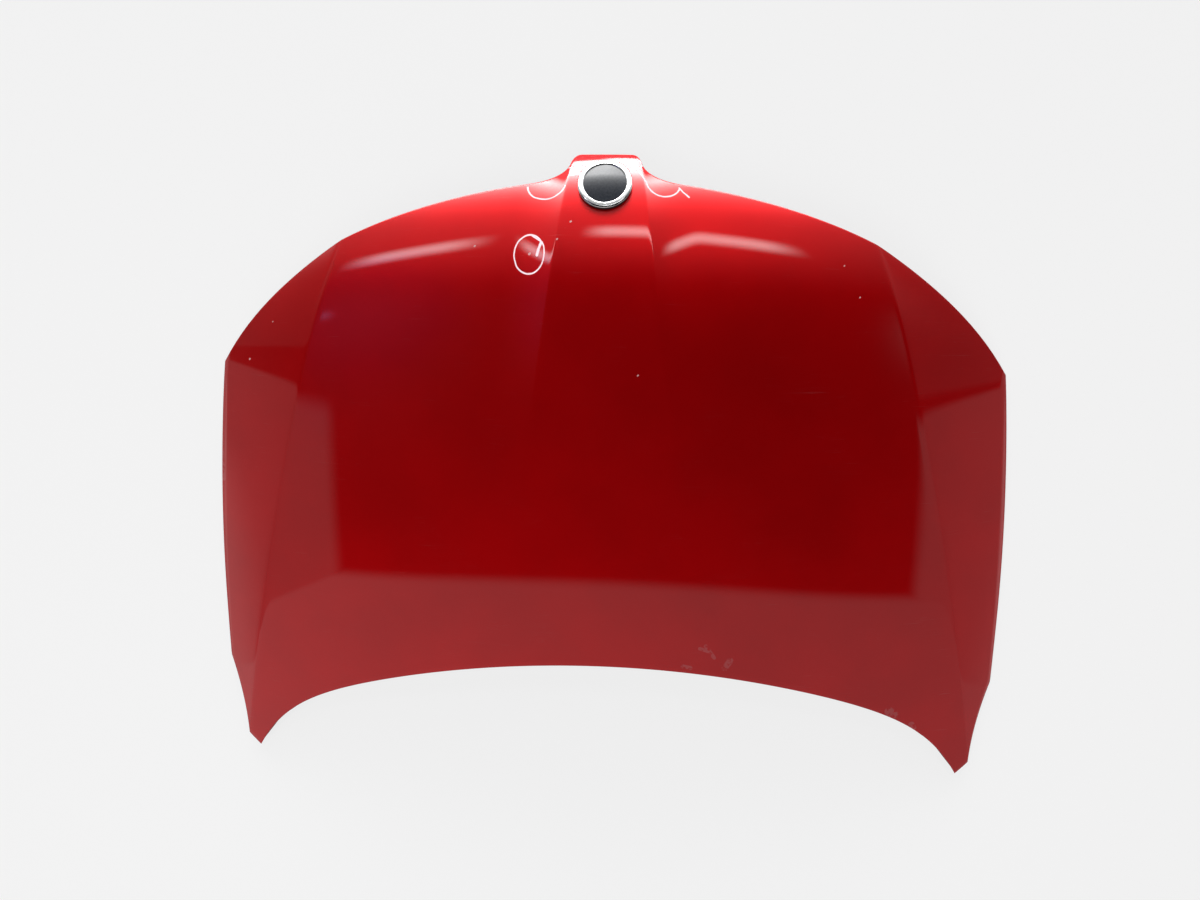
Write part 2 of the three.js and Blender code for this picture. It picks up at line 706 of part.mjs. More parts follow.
function outerSkin() {
  const inner = netPlaces.map((p, k) => p.clone().addScaledVector(netNormals[k], -SKIN_THICKNESS));
  const hemTop = SKIN_THICKNESS + PANEL_THICKNESS + 2 * SEAM_GAP;
  const hemBottom = hemTop + SKIN_THICKNESS;
  const fold = [
    [-HEM_BULGE, 0.2 * hemBottom],
    [-HEM_BULGE, 0.8 * hemBottom],
    [0, hemBottom],
    [HEM_WIDTH, hemBottom],
    [HEM_WIDTH, hemTop],
    [0, hemTop],
  ];
  const sections = new Map();
  rim.forEach((index, k) => {
    const row = fold.map(([inset, depth]) => {
      const p = rimInset(k, inset);
      return place(p.x, p.y, depth);
    });
    sections.set(index, row);
  });
  const skin = solidOf(sheetSolid(netPlaces, inner, netFaces, sections));
  const hole = solidOf(
    new THREE.CylinderGeometry(
      BADGE_PIN_RADIUS + SEAM_GAP,
      BADGE_PIN_RADIUS + SEAM_GAP,
      2 * BADGE_PIN_LENGTH,
      HOLE_POINTS,
    ).rotateX(Math.PI / 2),
  );
  const [left, right] = badgePinPlaces().map((frame) => hole.transform([...frame.elements]));
  return geometryOf(skin.subtract(left).subtract(right));
}

// Inner panel: a hemmed flange, a ramp down to the web, and cutouts and pads in the web

function innerPanel() {
  const flat = []; // developed places, for the triangulation
  const outer = [];
  const inner = [];
  const triangles = [];
  const add = (p, depth) => {
    outer.push(place(p.x, p.y, depth));
    inner.push(place(p.x, p.y, depth + PANEL_THICKNESS));
    return flat.push(p) - 1;
  };
  const addOnPad = (pad, p) => {
    outer.push(onPad(pad, p, 0));
    inner.push(onPad(pad, p, -PANEL_THICKNESS));
    return flat.push(p) - 1;
  };
  const strip = (wide, narrow) => {
    wide.forEach((a, k) => {
      const next = (k + 1) % wide.length;
      const right = flat[a].x + flat[wide[next]].x > 0;
      triangles.push(...patch(a, wide[next], narrow[next], narrow[k], right));
    });
  };
  const fill = (contour, holes) => {
    const loops = [contour, ...holes];
    const order = loops.flat();
    const [first, ...rest] = loops.map((loop) => loop.map((k) => flat[k].clone()));
    const faces = THREE.ShapeUtils.triangulateShape(first, rest).map((face) => {
      const [a, b, c] = face.map((k) => order[k]);
      const turn = flat[b].clone().sub(flat[a]).cross(flat[c].clone().sub(flat[a]));
      return turn > 0 ? [a, b, c] : [a, c, b];
    });
    triangles.push(...relax(faces, flat));
  };

  const flangeDepth = SKIN_THICKNESS + SEAM_GAP;
  const inwards = (k, inset, depth) =>
    add(rimPoints[k].clone().addScaledVector(rimOutward[k], -inset), depth);
  const hemInset = rimRoom.map((room) => Math.min(HEM_WIDTH, room) + SEAM_GAP);
  const webInset = rimRoom.map((room, k) =>
    Math.max(Math.min(HEM_WIDTH + PERIMETER_RAMP, room), hemInset[k] + 1),
  );
  const edge = rim.map((_, k) => inwards(k, 2 * SEAM_GAP, flangeDepth));
  const hemEnd = rim.map((_, k) => inwards(k, hemInset[k], flangeDepth));
  const webEdge = rim.map((_, k) => {
    const ramp = (webInset[k] - hemInset[k]) / (PERIMETER_RAMP - SEAM_GAP);
    return inwards(k, webInset[k], lerp(flangeDepth, WEB_DEPTH, ramp));
  });
  strip(edge, hemEnd);
  strip(hemEnd, webEdge);

  const openings = [];
  for (const cutout of cutouts) {
    const corner = Math.min(CUTOUT_CORNER, cutout.halfWidth, cutout.halfLength);
    const loop = (grow, depth) => roundedLoop(cutout, grow, corner, true).map((p) => add(p, depth));
    const lip = loop(0, FLANGE_DEPTH);
    const flange = loop(FLANGE_WIDTH, FLANGE_DEPTH);
    const foot = loop(FLANGE_WIDTH + CUTOUT_RAMP, WEB_DEPTH);
    strip(foot, flange);
    strip(flange, lip);
    openings.push(foot);
  }
  for (const pad of pads) {
    const foot = roundedLoop(pad.middle, PAD_RAMP, pad.corner).map((p) => add(p, WEB_DEPTH));
    const level = roundedLoop(pad.middle, 0, pad.corner).map((p) => addOnPad(pad, p));
    const holes = pad.holes.map((loop) => loop.map((p) => addOnPad(pad, p)));
    strip(foot, level);
    fill(level, holes);
    openings.push(foot);
  }
  fill(webEdge, openings);
  return sheetSolid(outer, inner, triangles);
}

// Pieces on the pads, in the pad's frame

const aroundZero = ({ halfWidth, halfLength }, margin) => ({
  s: 0,
  t: 0,
  halfWidth: halfWidth - margin,
  halfLength: halfLength - margin,
});

function padPlate(middle, holes, bottom, thickness) {
  const outline = roundedLoop(aroundZero(middle, STRIKER_MARGIN), 0, PAD_CORNER - STRIKER_MARGIN);
  return plate(outline, holes, bottom, thickness);
}

function weldNut(boltRadius, bottom) {
  const outline = circle(0, 0, 2 * boltRadius, 6);
  const hole = circle(0, 0, boltRadius + SEAM_GAP, HOLE_POINTS);
  return plate(outline, [hole], bottom, 1.7 * boltRadius);
}

// Shank up through the stack of sheets, head below it
function strikerBolt(headTop, shankTop) {
  const headHeight = 1.3 * STRIKER_BOLT_RADIUS;
  const head = plate(circle(0, 0, 1.9 * STRIKER_BOLT_RADIUS, 6), [], headTop - headHeight, headHeight);
  const shank = plate(
    circle(0, 0, STRIKER_BOLT_RADIUS, HOLE_POINTS),
    [],
    headTop - headHeight / 2,
    shankTop - headTop + headHeight / 2,
  );
  return geometryOf(solidOf(head).add(solidOf(shank)));
}

function strikerLoop(legTop) {
  const bottom = -STRIKER_LOOP_DROP;
  const half = STRIKER_LOOP_LENGTH / 2;
  const bend = STRIKER_LOOP_BEND;
  const at = (y, z) => new THREE.Vector3(0, y, z);
  const path = new THREE.CurvePath();
  path.add(new THREE.LineCurve3(at(half, legTop), at(half, bottom + bend)));
  const bent = (y) =>
    y > 0
      ? [at(half, bottom + bend), at(half, bottom), at(half - bend, bottom)]
      : [at(bend - half, bottom), at(-half, bottom), at(-half, bottom + bend)];
  path.add(new THREE.QuadraticBezierCurve3(...bent(half)));
  path.add(new THREE.LineCurve3(at(half - bend, bottom), at(bend - half, bottom)));
  path.add(new THREE.QuadraticBezierCurve3(...bent(-half)));
  path.add(new THREE.LineCurve3(at(-half, bottom + bend), at(-half, legTop)));
  const section = new THREE.Shape(circle(0, 0, STRIKER_ROD_RADIUS, 10));
  return new THREE.ExtrudeGeometry(section, { steps: 26, extrudePath: path, bevelEnabled: false });
}

// Head below the panel, neck through its hole, barb above it
function plugProfile(neck, head, headHeight, bore) {
  const under = -PANEL_THICKNESS - SEAM_GAP;
  const over = SEAM_GAP;
  return [
    [bore, under - headHeight],
    [head - HEAD_BEVEL, under - headHeight],
    [head, under - headHeight + HEAD_BEVEL],
    [head, under],
    [neck, under],
    [neck, over],
    [neck + BARB, over],
    [neck + BARB / 2, over + BARB_HEIGHT],
    [bore, over + BARB_HEIGHT],
  ];
}

// Badge, on pins through the skin

const BADGE_T = LENGTH - BADGE_BACK;

function badgePinPlaces() {
  return [-1, 1].map((end) => {
    const s = (end * BADGE_PIN_SPACING) / 2;
    const up = skinNormal(s, BADGE_T);
    const across = new THREE.Vector3(1, 0, 0).addScaledVector(up, -up.x).normalize();
    const frame = new THREE.Matrix4().makeBasis(across, up.clone().cross(across), up);
    return frame.setPosition(place(s, BADGE_T, 0));
  });
}

function badgeBase() {
  const radius = BADGE_RADIUS - BADGE_BASE_OVERHANG;
  const rings = [0, radius / 3, (2 * radius) / 3, radius];
  const profile = [
    ...rings.map((r) => [r, SEAM_GAP]),
    ...rings.reverse().map((r) => [r, SEAM_GAP + BADGE_BASE_HEIGHT]),
  ];
  const disc = solidOf(turnedOnSkin(profile, 0, BADGE_T, 36));
  const reach = BADGE_PIN_LENGTH + SEAM_GAP + BADGE_BASE_HEIGHT / 2;
  const pin = solidOf(
    plate(circle(0, 0, BADGE_PIN_RADIUS, HOLE_POINTS), [], -BADGE_PIN_LENGTH, reach),
  );
  const [left, right] = badgePinPlaces().map((frame) => pin.transform([...frame.elements]));
  return geometryOf(disc.add(left).add(right));
}

const BADGE_TOP = 2 * SEAM_GAP + BADGE_BASE_HEIGHT;

function badgeRing() {
  const inner = BADGE_RADIUS - BADGE_RING_WIDTH;
  const crest = (inner + BADGE_RADIUS) / 2;
  const half = BADGE_RING_CREST / 2;
  const profile = [
    [inner, BADGE_TOP],
    [BADGE_RADIUS, BADGE_TOP],
    [BADGE_RADIUS, BADGE_TOP + 0.5 * BADGE_RING_HEIGHT],
    [crest + half, BADGE_TOP + BADGE_RING_HEIGHT],
    [crest - half, BADGE_TOP + BADGE_RING_HEIGHT],
    [inner, BADGE_TOP + 0.6 * BADGE_RING_HEIGHT],
    [inner, BADGE_TOP],
  ];
  return turnedOnSkin(profile, 0, BADGE_T, 36);
}

function badgeFace() {
  const radius = BADGE_RADIUS - BADGE_RING_WIDTH - SEAM_GAP;
  const profile = [
    [0, BADGE_TOP],
    [radius / 2, BADGE_TOP],
    [radius, BADGE_TOP],
    [radius, BADGE_TOP + BADGE_FACE_HEIGHT],
    [radius / 2, BADGE_TOP + BADGE_FACE_HEIGHT + 0.75 * BADGE_DOME],
    [0, BADGE_TOP + BADGE_FACE_HEIGHT + BADGE_DOME],
  ];
  return turnedOnSkin(profile, 0, BADGE_T, 36);
}

function badgeClip(s) {
  const bore = BADGE_PIN_RADIUS + SEAM_GAP;
  const top = -(SKIN_THICKNESS + BEAD_SKIN_GAP);
  const profile = [
    [bore, top - CLIP_THICKNESS],
    [bore + CLIP_WIDTH, top - CLIP_THICKNESS],
    [bore + CLIP_WIDTH, top],
    [bore, top],
    [bore, top - CLIP_THICKNESS],
  ];
  return turnedOnSkin(profile, s, BADGE_T, HOLE_POINTS);
}

function sealantBead({ s, t, halfLength }) {
  const top = -(SKIN_THICKNESS + BEAD_SKIN_GAP);
  const bottom = -(FLANGE_DEPTH - SEAM_GAP);
  const profile = [
    [0, bottom],
    [BEAD_RADIUS, bottom],
    [BEAD_RADIUS, top],
    [0, top],
  ];
  return turnedOnSkin(profile, s, t + halfLength + FLANGE_WIDTH / 2, 8);
}

// Assembly

const bonnet = new THREE.Group();

function addPiece(parent, name, geometry, finish) {
  const mesh = new THREE.Mesh(geometry, finish);
  mesh.name = name;
  parent.add(mesh);
  return mesh;
}

function padGroup(pad) {
  const group = new THREE.Group();
  group.applyMatrix4(pad.frame);
  bonnet.add(group);
  return group;
}

addPiece(bonnet, "outer_skin", outerSkin(), finishes.skin);
addPiece(bonnet, "inner_panel", innerPanel(), finishes.panel);

for (const pad of hingePads) {
  const group = padGroup(pad);
  const holes = hingeHoles(0, 0);
  const stiffener = padPlate(pad.middle, holes, SEAM_GAP, HINGE_PLATE_THICKNESS);
  addPiece(group, `hinge_reinforcement_${pad.name}`, stiffener, finishes.primer);
  for (const [end, sign] of Object.entries({ rear: -1, front: 1 })) {
    const nut = weldNut(HINGE_BOLT_RADIUS, 2 * SEAM_GAP + HINGE_PLATE_THICKNESS);
    nut.translate(0, (sign * HINGE_BOLT_SPACING) / 2, 0);
    addPiece(group, `hinge_nut_${pad.name}_${end}`, nut, finishes.zinc);
  }
}

const strikerGroup = padGroup(strikerPad);
const strikerPlateBottom = -PANEL_THICKNESS - SEAM_GAP - STRIKER_PLATE_THICKNESS;
const legHoles = [-1, 1].map((end) =>
  circle(0, (end * STRIKER_LOOP_LENGTH) / 2, STRIKER_ROD_RADIUS + SEAM_GAP, HOLE_POINTS),
);
addPiece(
  strikerGroup,
  "striker_reinforcement",
  padPlate(strikerMiddle, strikerHoles(0, 0), SEAM_GAP, STRIKER_REINFORCEMENT_THICKNESS),
  finishes.primer,
);
addPiece(
  strikerGroup,
  "striker_plate",
  padPlate(strikerMiddle, [...strikerHoles(0, 0), ...legHoles], strikerPlateBottom, STRIKER_PLATE_THICKNESS),
  finishes.zinc,
);
const legTop = -PANEL_THICKNESS - 2 * SEAM_GAP;
addPiece(strikerGroup, "striker_loop", strikerLoop(legTop), finishes.zinc);
for (const [side, sign] of Object.entries(sides)) {
  const nutBottom = 2 * SEAM_GAP + STRIKER_REINFORCEMENT_THICKNESS;
  const nut = weldNut(STRIKER_BOLT_RADIUS, nutBottom);
  const bolt = strikerBolt(strikerPlateBottom - SEAM_GAP, nutBottom + 2 * STRIKER_BOLT_RADIUS);
  for (const geometry of [nut, bolt]) geometry.translate((sign * STRIKER_BOLT_SPACING) / 2, 0, 0);
  addPiece(strikerGroup, `striker_nut_${side}`, nut, finishes.zinc);
  addPiece(strikerGroup, `striker_bolt_${side}`, bolt, finishes.zinc);
}

for (const pad of bufferPads) {
  const profile = plugProfile(BUFFER_STEM_RADIUS, BUFFER_HEAD_RADIUS, BUFFER_HEAD_HEIGHT, 0);
  addPiece(padGroup(pad), pad.name, turned(profile, 16), finishes.rubber);
}
const grommet = plugProfile(
  GROMMET_NECK_RADIUS,
  GROMMET_NECK_RADIUS + GROMMET_FLANGE,
  GROMMET_FLANGE_HEIGHT,
  GROMMET_BORE_RADIUS,
);
addPiece(padGroup(stayPad), stayPad.name, turned([...grommet, grommet[0]], 16), finishes.plastic);

addPiece(bonnet, "badge_base", badgeBase(), finishes.plastic);
addPiece(bonnet, "badge_ring", badgeRing(), finishes.chrome);
addPiece(bonnet, "badge_face", badgeFace(), finishes.badgeFace);
for (const [side, sign] of Object.entries(sides)) {
  const clip = badgeClip((sign * BADGE_PIN_SPACING) / 2);
  addPiece(bonnet, `badge_clip_${side}`, clip, finishes.zinc);
}

cutouts
  .filter(({ t }) => t < LENGTH - BEAD_BACK)
  .forEach((cutout, k) => {
    addPiece(bonnet, `sealant_bead_${k + 1}`, sealantBead(cutout), finishes.sealant);
  });

// Rest: turned about X until its lowest points at the rear and at the front touch the floor
// together, with the middle of the box over the origin

const REST_SPLIT = LENGTH / 4; // what lies ahead of this counts as the front

function lowest(front) {
  bonnet.updateMatrixWorld(true);
  const low = new THREE.Vector3(0, 0, Infinity);
  const p = new THREE.Vector3();
  bonnet.traverse(({ geometry, matrixWorld }) => {
    const places = geometry?.getAttribute("position");
    for (let k = 0; k < (places?.count ?? 0); k++) {
      p.fromBufferAttribute(places, k).applyMatrix4(matrixWorld);
      if (p.y > REST_SPLIT === front && p.z < low.z) low.copy(p);
    }
  });
  return low;
}

for (let k = 0; k < 5; k++) {
  const [tip, corner] = [lowest(false), lowest(true)];
  bonnet.rotation.x -= Math.atan2(corner.z - tip.z, corner.y - tip.y);
}
bonnet.updateMatrixWorld(true);
const box = new THREE.Box3().setFromObject(bonnet, true);
bonnet.position.set(0, -(box.min.y + box.max.y) / 2, -box.min.z);

export default bonnet;
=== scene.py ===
"""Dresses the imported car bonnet: fine sheet metal, worn paint, badge, fittings and a studio."""

import functools
import math

import bpy
import numpy as np
from bpy.props import FloatProperty, FloatVectorProperty, PointerProperty
from mathutils import Euler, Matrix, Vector


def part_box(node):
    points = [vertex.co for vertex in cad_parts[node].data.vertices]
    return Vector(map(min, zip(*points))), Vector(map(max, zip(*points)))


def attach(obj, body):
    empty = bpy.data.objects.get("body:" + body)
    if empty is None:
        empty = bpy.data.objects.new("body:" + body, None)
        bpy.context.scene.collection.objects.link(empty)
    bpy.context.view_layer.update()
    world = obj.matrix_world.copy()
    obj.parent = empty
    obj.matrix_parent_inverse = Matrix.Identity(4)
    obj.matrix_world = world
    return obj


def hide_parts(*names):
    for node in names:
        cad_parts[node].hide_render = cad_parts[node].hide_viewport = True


bl_info = {
    "name": "Car bonnet",
    "version": (1, 0, 0),
    "blender": (4, 5, 0),
    "location": "3D View > Sidebar > Bonnet",
    "description": "Builds the finished look of a pressed-steel car bonnet around its solids",
    "category": "Object",
}

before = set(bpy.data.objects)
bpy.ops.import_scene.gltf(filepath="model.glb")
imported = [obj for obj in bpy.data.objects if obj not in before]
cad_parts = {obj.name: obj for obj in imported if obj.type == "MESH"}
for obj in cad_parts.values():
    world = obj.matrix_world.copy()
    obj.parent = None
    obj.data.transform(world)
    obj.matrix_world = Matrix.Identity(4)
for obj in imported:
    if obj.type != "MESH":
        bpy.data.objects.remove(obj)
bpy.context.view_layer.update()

# The sheet's developed surface, in millimetres and degrees: s runs to the right of the centre line
# and t forward along the skin from the middle of the rear edge.
LENGTH = 895
HALF_WIDTH = 725
WIDEST_T = 60
SHOULDER_T = -70
TIP_INSET = 29
TIP_BACK = 232
TIP_CUT_WIDTH = 22
TIP_CUT_LENGTH = 21
REAR_ARCH = 174
HOOK_REACH = 517
HOOK_POWER = 8
CORNER_INSET = 24
CORNER_BACK = 378
HEADLAMP_WIDTH = 252
KINK_BACK = 144
HEADLAMP_BULGE = 22
SHOULDER_REACH = 125
SHOULDER_BACK = 81
NOSE_FOOT_REACH = 72
NOSE_REACH = 54
NOSE_HALF = 58
NOSE_FLAT_HALF = 42
NOSE_CORNER = 18
NOSE_TAPER = 6
NOSE_FILLET = 6
BOW = 9.1
NOSE_TURN = 39.8
NOSE_LENGTH = 437
CROWN_REAR_RADIUS = 2640
CROWN_FRONT_RADIUS = 2180
FACET_FALL = 14.5
CREASE_BOW = 14
RIB_HEIGHT = 9
RIB_FULL_BACK = 135
RIB_FADE_LENGTH = 510
RIB_FLARE = 0.135
RIB_SHOULDER = 75
REST_TILT = 6.067  # the turn about X that lays the sheet on the floor
SKIN_THICKNESS = 0.8
HEM_DEPTH = 2.9
HEM_RISE = 2.1
HEM_WIDTH = 12
HEM_BULGE = 1.3

TIP_HALF = HALF_WIDTH - TIP_INSET
TIP_INNER_HALF = TIP_HALF - TIP_CUT_WIDTH
TIP_END_T = -(TIP_BACK + TIP_CUT_LENGTH)
CORNER_HALF = HALF_WIDTH - CORNER_INSET
CORNER_T = LENGTH - CORNER_BACK
KINK = (CORNER_HALF - HEADLAMP_WIDTH, LENGTH - KINK_BACK)
GRILLE_SHOULDER = (KINK[0] - SHOULDER_REACH, LENGTH - SHOULDER_BACK)
NOSE_FOOT = (NOSE_HALF + NOSE_FOOT_REACH, LENGTH - NOSE_REACH)
NOSE_SIDE_T = LENGTH - NOSE_CORNER

# Mesh of the fine sheet
ROWS = 130
RIB_COLUMNS = 20
FIELD_COLUMNS = 64
TIP_COLUMNS = 3
FACET_COLUMNS = 20
UNDERSIDE = 0.02  # third coordinate of the developed places below the outer face
EDGE_CROWDING = 0.75  # how far the columns gather at the rib's edge and the crease
FOLD_STEPS = 6  # faces round the hem's fold
ROOM_SHARE = 0.8  # how much of the room inside a rim point the hem may take
ROW_CROWDING = 1.3  # above 1, the rows gather towards the front
FACET_CROWDING = 1.5  # above 1, the facets' columns gather at the crease
RIM_STRETCH = 1.6  # the most that a sharp corner of the rim moves against its neighbours
SAME_PLACE_DIGITS = 7  # decimals of a metre to which two vertices count as one
BADGE_SEGMENTS = 96
DOME_STEPS = 12

# Badge
BADGE_T = LENGTH - 65
BADGE_RADIUS = 45
BADGE_RING_WIDTH = 10.5
BADGE_RING_HEIGHT = 4
BADGE_BASE_HEIGHT = 5
BADGE_FACE_EDGE = 2.4
BADGE_FACE_CROWN = 1.2
SEAM_GAP = 0.3
BADGE_TOP = 2 * SEAM_GAP + BADGE_BASE_HEIGHT

# Camera, in metres and radians
CAMERA_PLACE = (0.0860, 0.3515, 1.6245)
CAMERA_TURN = (-0.1838, 0.0605, 0.0123)
FOCAL_PIXELS = 905.2
PHOTO_WIDTH = 1200
SENSOR_WIDTH = 36

# Stage, in metres
FLOOR_SIZE = 80
FLOOR_DROP = 0.0005  # keeps the floor clear of the hem that rests on it
FLOOR_GLOW = 0.78  # share of white in what the camera sees of the floor, the rest keeps the shadow
LAMP_PLACE = (-0.9, -0.7, 3.2)
LAMP_SIZE = 3.2
LAMP_TINT = (0.5, 0.45, 1.0)  # the bluish lamp that the left of the skin mirrors

# How much each kind of wear shows in the paint, and its colour
DUST_LOOK = (0.015, (0.42, 0.24, 0.24))
SCRATCH_LOOK = (0.08, (0.5, 0.2, 0.2))
STAIN_LOOK = (0.2, (0.6, 0.35, 0.36))
CHIP_COLOUR = (0.55, 0.30, 0.30)
STAIN_DULLING = 0.3  # how far a stain takes the gloss away
CHIP_DEPTH = 3.0  # against the height of the clear coat's ripple


class SheetSettings(bpy.types.PropertyGroup):
    crease_softness: FloatProperty(
        name="Crease softness",
        description="Width over which the side creases turn",
        default=0.003,
        unit="LENGTH",
    )
    rib_softness: FloatProperty(
        name="Rib softness",
        description="Width over which the edges of the raised centre turn",
        default=0.0015,
        unit="LENGTH",
    )


class PaintSettings(bpy.types.PropertyGroup):
    colour: FloatVectorProperty(
        name="Paint colour",
        description="Colour of the outer paint",
        subtype="COLOR",
        size=3,
        default=(0.55, 0.001, 0.003),
    )
    under_colour: FloatVectorProperty(
        name="Inner paint colour",
        description="Colour of the thin paint on the inner panel",
        subtype="COLOR",
        size=3,
        default=(0.17, 0.004, 0.006),
    )
    marker_colour: FloatVectorProperty(
        name="Marker colour",
        description="Colour of the marker lines drawn round the damage",
        subtype="COLOR",
        size=3,
        default=(0.92, 0.72, 0.77),
    )
    flake: FloatProperty(
        name="Metal flake",
        description="Share of the paint that shines like coloured metal",
        default=0.7,
        subtype="FACTOR",
    )
    coat_roughness: FloatProperty(
        name="Clear coat roughness",
        description="Blur of the reflections in the clear coat",
        default=0.03,
        subtype="FACTOR",
    )
    orange_peel: FloatProperty(
        name="Orange peel",
        description="Strength of the fine ripple in the clear coat",
        default=0.035,
        subtype="FACTOR",
    )


class StageSettings(bpy.types.PropertyGroup):
    lamp_power: FloatProperty(
        name="Lamp power",
        description="Power of the soft overhead lamp",
        default=50.0,
        unit="POWER",
    )
    floor_colour: FloatVectorProperty(
        name="Floor colour",
        description="Colour of the floor",
        subtype="COLOR",
        size=3,
        default=(0.55, 0.55, 0.55),
    )


# Sheet surface


def lerp(a, b, u):
    return a + (b - a) * u


def smoothstep(x, low, high):
    u = np.clip((x - low) / (high - low), 0, 1)
    return u * u * (3 - 2 * u)


def softened(x, width):
    return (x + np.sqrt(x * x + width * width)) / 2


def rear_edge(s):
    hook = np.maximum(0, (s - TIP_INNER_HALF) / HOOK_REACH + 1) ** HOOK_POWER
    return -REAR_ARCH * (s / TIP_INNER_HALF) ** 2 + (TIP_END_T + REAR_ARCH) * hook


def side_edge(t):
    ahead = np.clip((t - WIDEST_T) / (CORNER_T - WIDEST_T), 0, 1)
    behind = np.clip((SHOULDER_T - t) / (SHOULDER_T + TIP_BACK), 0, 1)
    return HALF_WIDTH - CORNER_INSET * ahead**2 - TIP_INSET * (1 - (1 - behind) ** 2)


def crease(t):
    u = (t + TIP_BACK) / (KINK[1] + TIP_BACK)
    return lerp(TIP_HALF, KINK[0], u) + CREASE_BOW * 4 * u * (1 - u)


def rib_edge(t):
    return NOSE_HALF + RIB_FLARE * (NOSE_SIDE_T - t)


def bezier(start, middle, end, u):
    u = np.asarray(u, float)[..., None]
    start, middle, end = (np.array(p, float) for p in (start, middle, end))
    return (1 - u) ** 2 * start + 2 * u * (1 - u) * middle + u**2 * end


def skin_angle(t):
    nose = np.maximum(0, (t - LENGTH) / NOSE_LENGTH + 1)
    return math.radians(BOW) * (t / LENGTH) + math.radians(NOSE_TURN) * nose**2


CENTRE_T = np.linspace(-500, LENGTH + 100, 4001)
CENTRE_STEP = CENTRE_T[1] - CENTRE_T[0]
MIDDLE_ANGLE = skin_angle((CENTRE_T[1:] + CENTRE_T[:-1]) / 2)
CENTRE_Y = np.concatenate([[0], np.cumsum(np.cos(MIDDLE_ANGLE) * CENTRE_STEP)])
CENTRE_Z = np.concatenate([[0], -np.cumsum(np.sin(MIDDLE_ANGLE) * CENTRE_STEP)])
CENTRE_Y -= np.interp(0, CENTRE_T, CENTRE_Y)
CENTRE_Z -= np.interp(0, CENTRE_T, CENTRE_Z)


def skin_fall(s, t, crease_width, rib_width):
    curvature = lerp(1 / CROWN_REAR_RADIUS, 1 / CROWN_FRONT_RADIUS, t / LENGTH)
    outside = softened(np.abs(s) - crease(t), crease_width)
    beside = np.minimum(softened(np.abs(s) - rib_edge(t), rib_width) / RIB_SHOULDER, 1)
    full = LENGTH - RIB_FULL_BACK
    rise = RIB_HEIGHT * smoothstep(t, full - RIB_FADE_LENGTH, full) * (1 - beside) ** 2
    return s * s * curvature / 2 + math.tan(math.radians(FACET_FALL)) * outside - rise


class Sheet:
    """The smooth skin, laid where the solid skin is."""

    def __init__(self, settings):
        self.crease_width = settings.crease_softness * 1000
        self.rib_width = settings.rib_softness * 1000
        self.shift = np.zeros(3)

    def point(self, s, t):
        angle = skin_angle(t)
        fall = skin_fall(s, t, self.crease_width, self.rib_width)
        y = np.interp(t, CENTRE_T, CENTRE_Y) - fall * np.sin(angle)
        z = np.interp(t, CENTRE_T, CENTRE_Z) - fall * np.cos(angle)
        turn = math.radians(REST_TILT)
        across = s + 0 * t
        forward = y * math.cos(turn) - z * math.sin(turn)
        up = y * math.sin(turn) + z * math.cos(turn)
        return np.stack([across, forward, up], -1) / 1000 + self.shift

    def normal(self, s, t):
        across = self.point(s + 1, t) - self.point(s - 1, t)
        along = self.point(s, t + 1) - self.point(s, t - 1)
        normal = np.cross(across, along)
        return normal / np.linalg.norm(normal, axis=-1, keepdims=True)

    def place(self, s, t, depth):
        return self.point(s, t) - self.normal(s, t) * np.asarray(depth)[..., None] / 1000


